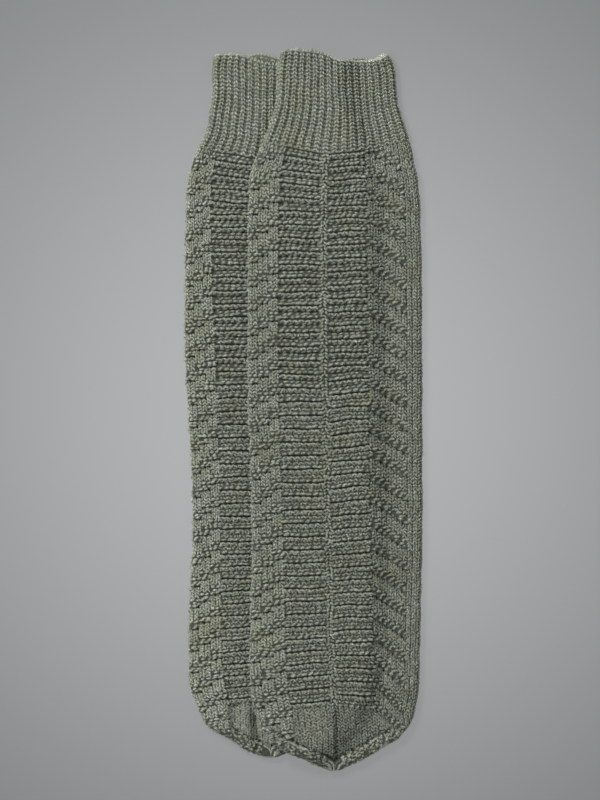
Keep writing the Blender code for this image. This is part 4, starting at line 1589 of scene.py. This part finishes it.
    def rounding(self, inner: Array, outer: Array) -> tuple[Array, Array, Array]:
        """Rings of the rounded cast-on edge, from the inside over the top to the outside.

        Args:
            inner: last ring of the inside.
            outer: first ring of the outside.

        Returns:
            The rings, the yarn's coordinates on them with a tone that carries a painted highlight, and the
            depth of the painted shade between the loops.
        """
        middle = (inner + outer) / 2
        half = (outer - inner) / 2
        along = running_length(middle)
        draw = np.random.default_rng(self.table.seed + Draw.CAST_ON)
        knots = np.arange(0.0, along[-1] + CAST_ON.pitch, CAST_ON.pitch)
        size = np.interp(along, knots, 1 + draw.normal(0, CAST_ON.jitter, len(knots)))
        bead = (np.abs(np.sin(math.pi * along / CAST_ON.pitch)) - 0.5) * size
        rings, strands = [], []
        for turn in CAST_ON.turns:
            angle = math.radians(turn)
            ring = middle - half * (math.cos(angle) * (1 + CAST_ON.swell * bead[:, None] * math.sin(angle)))
            ring[:, 1] += (CLOTH.rim_bulge + CAST_ON.rise * bead) * math.sin(angle)
            rings.append(ring)
            # Painted highlight: the loops are drawn light, lightest on each bead's crest.
            tone = CAST_ON.tone + CAST_ON.swell * bead
            strands.append(np.stack([along, along + turn / CAST_ON.twist, tone], axis=-1))
        # Painted shade between the loops, darkest in the dips between beads.
        gap = np.clip(CAST_ON.gap - CAST_ON.gap_swing * bead, 0.0, CAST_ON.deepest)
        return np.stack(rings), np.stack(strands), np.tile(gap, (len(rings), 1))

    def toe(self, name: str, leg: Knitting, first: int) -> bpy.types.Object:
        """The toe as a closed wall that ends in its gathered tip.

        Args:
            name: name of the piece.
            leg: the knitted leg and toe.
            first: number of the upper ring.

        Returns:
            The piece.
        """
        outer = leg.points[first:]
        centre = outer[-1].mean(axis=0)
        bulge = np.array([0.0, -CLOTH.tip_bulge, 0.0])
        shrink = [centre + (outer[-1] - centre) * math.cos(angle) + bulge * math.sin(angle)
                  for angle in np.radians(self.TIP_TURNS)]
        deepest = first + int(self.TOE_INSIDE * (len(leg.points) - 1 - first))
        inner = self.inside(leg.skin, spread(deepest, first, self.END_RINGS))
        everything = np.concatenate([inner, outer, np.stack(shrink)])
        rings, width = everything.shape[:2]
        flat = np.concatenate([everything.reshape(-1, 3), [centre + bulge, inner[0].mean(axis=0)]])
        spot = np.arange(width)
        beside = (spot + 1) % width
        last_ring = (rings - 1) * width
        tip, end = np.full(width, rings * width), np.full(width, rings * width + 1)
        fans = (np.stack([last_ring + spot, tip, last_ring + beside], axis=-1),
                np.stack([beside, end, spot], axis=-1))
        piece = build_mesh(name, flat, ring_quads(rings, width, False), np.concatenate(fans))
        strands = self.plain_yarn(flat)
        # Painted shade only on the raised outside.
        shade_depths = np.zeros(len(flat))
        raised = slice(len(inner) * width, (len(inner) + len(outer)) * width)
        strands[raised] = leg.yarn[first:].reshape(-1, 3)
        shade_depths[raised] = leg.gap[first:].ravel()
        self.dress(piece, strands, shade_depths)
        return piece

    def dress(self, piece: bpy.types.Object, strand: Array, depth: Array) -> None:
        """Give a piece its attributes, its wool and its place in the frame.

        Args:
            piece: the piece.
            strand: the yarn's own coordinates at each point, with a tone that carries some painted light and
                shade.
            depth: depth of the painted shade in the gaps at each point.
        """
        mesh = piece.data
        mesh.attributes.new("yarn", "FLOAT_VECTOR", "POINT").data.foreach_set(
            "vector", strand.astype(np.float32).ravel())
        # The gap attribute carries the painted shade.
        mesh.attributes.new("gap", "FLOAT", "POINT").data.foreach_set("value", depth.astype(np.float32))
        mesh.materials.append(self.wool)
        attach(piece, "root")
        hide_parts("sock_" + self.table.name)
        LOG.info("%s: %d triangles", piece.name, sum(len(p.vertices) - 2 for p in mesh.polygons))

    def build(self) -> None:
        name = self.table.name
        cuff, cuff_knitting = self.cuff(name + "_cuff")
        leg = self.raise_leg()
        half = self.table.leg_rows // 2 * GAUGE.rings_per_row
        toe = self.table.leg_rows * GAUGE.rings_per_row
        pieces = [
            cuff,
            self.tube(name + "_leg_high", leg, 0, half),
            self.tube(name + "_leg_low", leg, half, toe),
            self.toe(name + "_toe", leg, toe),
        ]
        self.root_fibres(cuff_knitting, RELIEF.rim_rings)
        self.root_fibres(leg, 0)

    def root_fibres(self, knitting: Knitting, rim_rings: int) -> None:
        """Keep the points where fibres may stand, more often at the folds and the rim.

        Args:
            knitting: the knitted part.
            rim_rings: how many of its first rings are the rim.
        """
        turned = [column.turned for column in knitting.skin.columns]
        shown = np.repeat(np.arange(len(turned)), np.where(turned, Nap.edge_share, 1))
        shown = shown[knitting.skin.fade()[shown] > 0.5]
        line = np.arange(len(knitting.points))
        lines = np.repeat(line, np.where(line < rim_rings, Nap.edge_share, 1))
        for kept, field in ((self.roots, knitting.points), (self.ways, knitting.skin.outward())):
            kept.append(field[lines][:, shown].reshape(-1, 3))


@dataclass(frozen=True)
class Nap:
    """Loose fibres that stand off the yarn, as on any woollen knitting that has been worn or washed.

    Attributes:
        fibres: how many on a sock.
        length: mean length in millimetres.
        radius: half thickness at the root, as a tuft of a few fibres.
        lean: how far they lie over from upright.
        bend: how far the outer half turns off.
        stray: how far the fibres differ from each other in their lean and bend.
        lengths: shortest and longest, as shares of the mean.
        sunk: how deep the root stands in the yarn, in millimetres.
        taper: thickness at the middle, as a share of that at the root.
        edge_share: how many times denser they are at the folds and the rim.
    """

    SIDES: ClassVar[int] = 3
    SIDEWAYS: ClassVar[tuple[float, float, float]] = (0.31, 0.52, 0.79)
    edge_share: ClassVar[int] = 8
    fibres: int = 4000
    length: float = 1.8
    radius: float = 0.075
    lean: float = 1.3
    bend: float = 0.9
    stray: float = 0.6
    lengths: tuple[float, float] = (0.6, 1.4)
    sunk: float = 0.05
    taper: float = 0.8

    def grow(self, sock: Sock) -> None:
        """Grow the fibres on a sock that has been built.

        Args:
            sock: the sock.
        """
        draw = np.random.default_rng(sock.table.seed + Draw.NAP)
        roots, ways = np.concatenate(sock.roots), np.concatenate(sock.ways)
        picked = draw.integers(0, len(roots), self.fibres)
        way = unit(ways[picked] + self.lean * draw.normal(0, self.stray, (self.fibres, 3)))
        turned = unit(way + self.bend * draw.normal(0, self.stray, (self.fibres, 3)))
        half = self.length / 2 * draw.uniform(*self.lengths, (self.fibres, 1))
        root = roots[picked] - self.sunk * way
        middle = root + half * way
        side = unit(np.cross(way, self.SIDEWAYS))
        across = np.cross(way, side)
        corners = []
        for centre, radius in ((root, self.radius), (middle, self.radius * self.taper)):
            for corner in range(self.SIDES):
                angle = 2 * math.pi * corner / self.SIDES
                corners.append(centre + radius * (math.cos(angle) * side + math.sin(angle) * across))
        points = np.stack(corners + [middle + half * turned], axis=1)
        points[..., 2] = np.maximum(points[..., 2], 0.0)
        each = points.shape[1]
        start = each * np.arange(self.fibres)[:, None]
        sides = [(low, (low + 1) % self.SIDES) for low in range(self.SIDES)]
        quads = [start + np.array([[a, b, self.SIDES + b, self.SIDES + a]]) for a, b in sides]
        ends = [start + np.array([[self.SIDES + a, self.SIDES + b, each - 1]]) for a, b in sides]
        name = sock.table.name + "_nap"
        piece = build_mesh(name, points.reshape(-1, 3), np.concatenate(quads), np.concatenate(ends))
        strand = np.repeat(draw.uniform(0.0, 1.0, (self.fibres, 1, 3)), each, axis=1).reshape(-1, 3)
        sock.dress(piece, strand, np.zeros(len(strand)))


def srgb(text: str) -> tuple[float, float, float, float]:
    """Linear colour of an sRGB hex value such as 7A7F6C.

    Args:
        text: six hex digits.

    Returns:
        Linear red, green, blue and an alpha of 1.
    """
    channels = [int(text[n:n + 2], 16) / 255 for n in (0, 2, 4)]
    linear = [c / 12.92 if c <= 0.04045 else ((c + 0.055) / 1.055) ** 2.4 for c in channels]
    return (*linear, 1.0)


def add_node(
    material: bpy.types.Material, kind: str, links: Optional[dict] = None, **settings: str
) -> bpy.types.Node:
    """Add a node with its settings, input values and links.

    Args:
        material: the material.
        kind: the node's type, without the words ShaderNode.
        links: what feeds each input: a socket of another node, or a value.
        settings: the node's own properties.

    Returns:
        The node.
    """
    node = material.node_tree.nodes.new("ShaderNode" + kind)
    for name, value in settings.items():
        setattr(node, name, value)
    for name, value in (links or {}).items():
        socket = node.inputs[name]
        if isinstance(value, bpy.types.NodeSocket):
            material.node_tree.links.new(value, socket)
        else:
            socket.default_value = value
    return node


def new_material(name: str, settings: dict) -> bpy.types.Material:
    """Start a material.

    Args:
        name: its name.
        settings: what is the same all over, by the shader's own sockets.

    Returns:
        The material.
    """
    material = bpy.data.materials.new(name)
    material.use_nodes = True
    for socket, value in settings.items():
        material.node_tree.nodes["Principled BSDF"].inputs[socket].default_value = value
    return material


def feed_shader(material: bpy.types.Material, name: str, socket: bpy.types.NodeSocket) -> None:
    """Link a node's socket to one of the shader's."""
    material.node_tree.links.new(socket, material.node_tree.nodes["Principled BSDF"].inputs[name])


@dataclass(frozen=True)
class WoolFinish:
    """Hand-knit heather wool: two-ply yarn spun from grey, green and straw fibres, slightly felted.

    It looks dull and soft, flecked light and dark, with a faint sheen where loose fibres catch the light.
    Shade in the gaps, furrows and creases is painted into its colour, and the strands' tone carries some
    painted light and shade.
    A fibre is some 0.03 mm thick, too fine to show, so fibres and flecks are drawn as coarse as they
    need to be.
    """

    name: str = "Heather wool yarn, hand knit"
    mid: str = "7E8375"
    light: str = "C3C7B6"
    straw: str = "8E9172"
    dark: str = "3E4237"
    # Colour of the painted shade in the gaps, furrows and creases.
    gap: str = "1C1F17"
    roughness: float = 0.92
    sheen: float = 0.3
    sheen_roughness: float = 0.45
    specular: float = 0.2
    fibres_per_mm: tuple[float, float, float] = (0.9, 4.5, 37.0)
    fleck_mm: float = 0.62
    patch_mm: float = 17.0
    light_from: tuple[float, float] = (0.47, 0.62)
    straw_from: tuple[float, float] = (0.45, 0.7)
    straw_most: float = 0.6
    dark_from: tuple[float, float] = (0.52, 0.34)
    dark_most: float = 0.85
    # Brightness of a strand by its tone, which differs at random and also carries painted light and shade.
    tones: tuple[float, float] = (0.8, 1.5)
    tone_range: float = 2.0
    ply_mm: float = 1.15
    ply_slant: float = 1.1
    ply_strength: float = 0.8
    ply_depth_mm: float = 0.16
    fibre_depth_mm: float = 0.32

    def make(self) -> bpy.types.Material:
        """Make the material, whose patterns follow each strand of yarn.

        Returns:
            The material.
        """
        material = new_material(self.name, {
            "Roughness": self.roughness, "Sheen Weight": self.sheen,
            "Sheen Roughness": self.sheen_roughness, "Specular IOR Level": self.specular})
        yarn = add_node(material, "Attribute", attribute_name="yarn").outputs["Vector"]
        parts = add_node(material, "SeparateXYZ", {"Vector": yarn})
        # Fibres lie along the strand: the noise is stretched along it and fine across it.
        stretched = add_node(material, "VectorMath", {0: yarn, 1: self.fibres_per_mm}, operation="MULTIPLY")
        fibre = add_node(material, "TexNoise", {
            "Vector": stretched.outputs[0], "Scale": 1.0, "Detail": 3.0, "Roughness": 0.6}).outputs["Fac"]
        feed_shader(material, "Base Color", self.colour(material, parts, fibre))
        feed_shader(material, "Normal", self.bump(material, parts, fibre))
        return material

    def colour(
        self, material: bpy.types.Material, parts: bpy.types.Node, fibre: bpy.types.NodeSocket
    ) -> bpy.types.NodeSocket:
        """Mix the heather, tint its patches, streak and tone its strands, and paint shade into the gaps.

        Args:
            material: the material.
            parts: the strand's own coordinates.
            fibre: noise along the strand.

        Returns:
            The colour.
        """
        place = add_node(material, "TexCoord").outputs["Object"]
        fleck, patch = (
            add_node(material, "TexNoise", {
                "Vector": place, "Scale": 1 / (size * METRES), "Detail": detail, "Roughness": rough})
            for size, detail, rough in ((self.fleck_mm, 2.0, 0.7), (self.patch_mm, 3.0, 0.55)))
        gap = add_node(material, "Attribute", attribute_name="gap").outputs["Fac"]
        colour = srgb(self.mid)
        layers = (
            (fleck.outputs["Fac"], self.light_from, 1.0, self.light),
            (patch.outputs["Fac"], self.straw_from, self.straw_most, self.straw),
            (fibre, self.dark_from, self.dark_most, self.dark),
        )
        for noise, (low, high), most, other in layers:
            share = add_node(material, "MapRange", {
                "Value": noise, "From Min": low, "From Max": high, "To Max": most})
            colour = add_node(material, "Mix", {
                "Factor": share.outputs[0], "A": colour, "B": srgb(other)}, data_type="RGBA").outputs[2]
        # The strand's tone scales its colour: it differs at random, is raised as painted light on the left
        # panels, the cuffs and the cast-on rim, is lowered as painted shade on the toe's right half, and is
        # lower on the right band.
        tone = add_node(material, "MapRange", {
            "Value": parts.outputs["Z"], "From Max": self.tone_range,
            "To Min": self.tones[0], "To Max": self.tones[1]})
        toned = add_node(material, "VectorMath", {0: colour, "Scale": tone.outputs[0]}, operation="SCALE")
        # Painted shade: the gaps, furrows and creases are drawn dark.
        return add_node(material, "Mix", {
            "Factor": gap, "A": toned.outputs[0], "B": srgb(self.gap)}, data_type="RGBA").outputs[2]

    def bump(
        self, material: bpy.types.Material, parts: bpy.types.Node, fibre: bpy.types.NodeSocket
    ) -> bpy.types.NodeSocket:
        """Raise the plies and the fibres.

        Args:
            material: the material.
            parts: the strand's own coordinates.
            fibre: noise along the strand.

        Returns:
            The normal.
        """
        # Two plies wind round each other: a slanting wave over the strand's own coordinates.
        turns = 2 * math.pi / self.ply_mm
        along = add_node(material, "Math", {0: parts.outputs["X"], 1: turns}, operation="MULTIPLY")
        slant = add_node(material, "Math", {
            0: parts.outputs["Y"], 1: turns * self.ply_slant, 2: along.outputs[0]}, operation="MULTIPLY_ADD")
        ply = add_node(material, "Math", {0: slant.outputs[0]}, operation="SINE")
        plies = add_node(material, "Bump", {
            "Height": ply.outputs[0], "Strength": self.ply_strength, "Distance": self.ply_depth_mm * METRES})
        return add_node(material, "Bump", {
            "Height": fibre, "Strength": 1.0, "Distance": self.fibre_depth_mm * METRES,
            "Normal": plies.outputs[0]}).outputs[0]


@dataclass(frozen=True)
class TableFinish:
    """Opal acrylic table top, drawn glowing as if lit from below: painted light that fades the socks' shadows
    on it. It is pale grey, and its glow is painted a little darker away from the middle, as light that falls
    off.
    """

    name: str = "Opal acrylic light table"
    acrylic: str = "313333"
    # Painted light: the glow in the middle and at the rim.
    middle: str = "A7A9A9"
    rim: str = "626564"
    reach: float = 0.44
    glow: float = 1.0
    roughness: float = 0.8

    def make(self) -> bpy.types.Material:
        """Make the material.

        Returns:
            The material.
        """
        material = new_material(self.name, {
            "Base Color": srgb(self.acrylic), "Roughness": self.roughness, "Emission Strength": self.glow})
        place = add_node(material, "TexCoord").outputs["Object"]
        away = add_node(material, "VectorMath", {0: place}, operation="LENGTH")
        share = add_node(material, "MapRange", {
            "Value": away.outputs["Value"], "From Max": self.reach}, interpolation_type="SMOOTHSTEP")
        # Painted light: the floor glows, a little darker away from the middle.
        glow = add_node(material, "Mix", {
            "Factor": share.outputs[0], "A": srgb(self.middle), "B": srgb(self.rim)}, data_type="RGBA")
        feed_shader(material, "Emission Color", glow.outputs[2])
        return material


@dataclass(frozen=True)
class Lamp:
    """A soft square light that points at the socks, in metres and watts."""

    name: str
    place: tuple[float, float, float]
    size: float
    power: float

    def hang(self) -> None:
        """Hang the light."""
        data = bpy.data.lights.new(self.name, "AREA")
        data.shape = "SQUARE"
        data.size = self.size
        data.energy = self.power
        lamp = bpy.data.objects.new(self.name, data)
        lamp.location = self.place
        lamp.rotation_euler = (-Vector(self.place)).to_track_quat("-Z", "Y").to_euler()
        bpy.context.scene.collection.objects.link(lamp)


@dataclass(frozen=True)
class Studio:
    """Floor, soft lights and a camera straight above, framed as in the photograph, in metres."""

    floor_size: float = 4.0
    floor_drop: float = 0.0002
    camera_x: float = -0.00185
    camera_y: float = 0.0065
    camera_z: float = 2.0
    socks_z: float = 0.008
    seen_height: float = 0.5088
    sensor_mm: float = 36.0
    sky: str = "E6EAEC"
    sky_strength: float = 0.34
    lamps: tuple[Lamp, ...] = (
        Lamp("key", (-0.95, 1.1, 1.25), 0.5, 41.0),
        Lamp("left fill", (-1.1, -0.5, 1.3), 1.2, 12.0),
        Lamp("right fill", (1.3, 0.3, 1.3), 1.2, 7.0),
    )

    def build(self) -> None:
        """Make the floor, the lights, the world and the camera."""
        bpy.ops.object.select_all(action="DESELECT")
        bpy.ops.mesh.primitive_plane_add(size=self.floor_size, location=(0, 0, -self.floor_drop))
        floor = bpy.context.object
        floor.name = "floor"
        floor.data.materials.append(TableFinish().make())
        for lamp in self.lamps:
            lamp.hang()
        world = bpy.data.worlds.new("studio")
        bpy.context.scene.world = world
        world.use_nodes = True
        background = world.node_tree.nodes["Background"]
        background.inputs["Color"].default_value = srgb(self.sky)
        background.inputs["Strength"].default_value = self.sky_strength
        self.camera()

    def camera(self) -> None:
        """Hang the camera so that its view is as high as the photograph's."""
        data = bpy.data.cameras.new("camera")
        data.sensor_width = self.sensor_mm
        data.lens = self.sensor_mm * (self.camera_z - self.socks_z) / self.seen_height
        camera = bpy.data.objects.new("camera", data)
        camera.location = (self.camera_x, self.camera_y, self.camera_z)
        bpy.context.scene.collection.objects.link(camera)
        bpy.context.scene.camera = camera


def main() -> None:
    """Build the socks and the studio, and report each piece."""
    logging.basicConfig(level=logging.INFO)
    bpy.context.scene.view_settings.view_transform = "Standard"
    Studio().build()
    wool = WoolFinish().make()
    lower = Sock(LOWER, Flat(), wool)
    upper = Sock(UPPER, Drape(lower.form), wool)
    for sock in (lower, upper):
        sock.build()
        Nap().grow(sock)


if __name__ == "__main__":
    main()
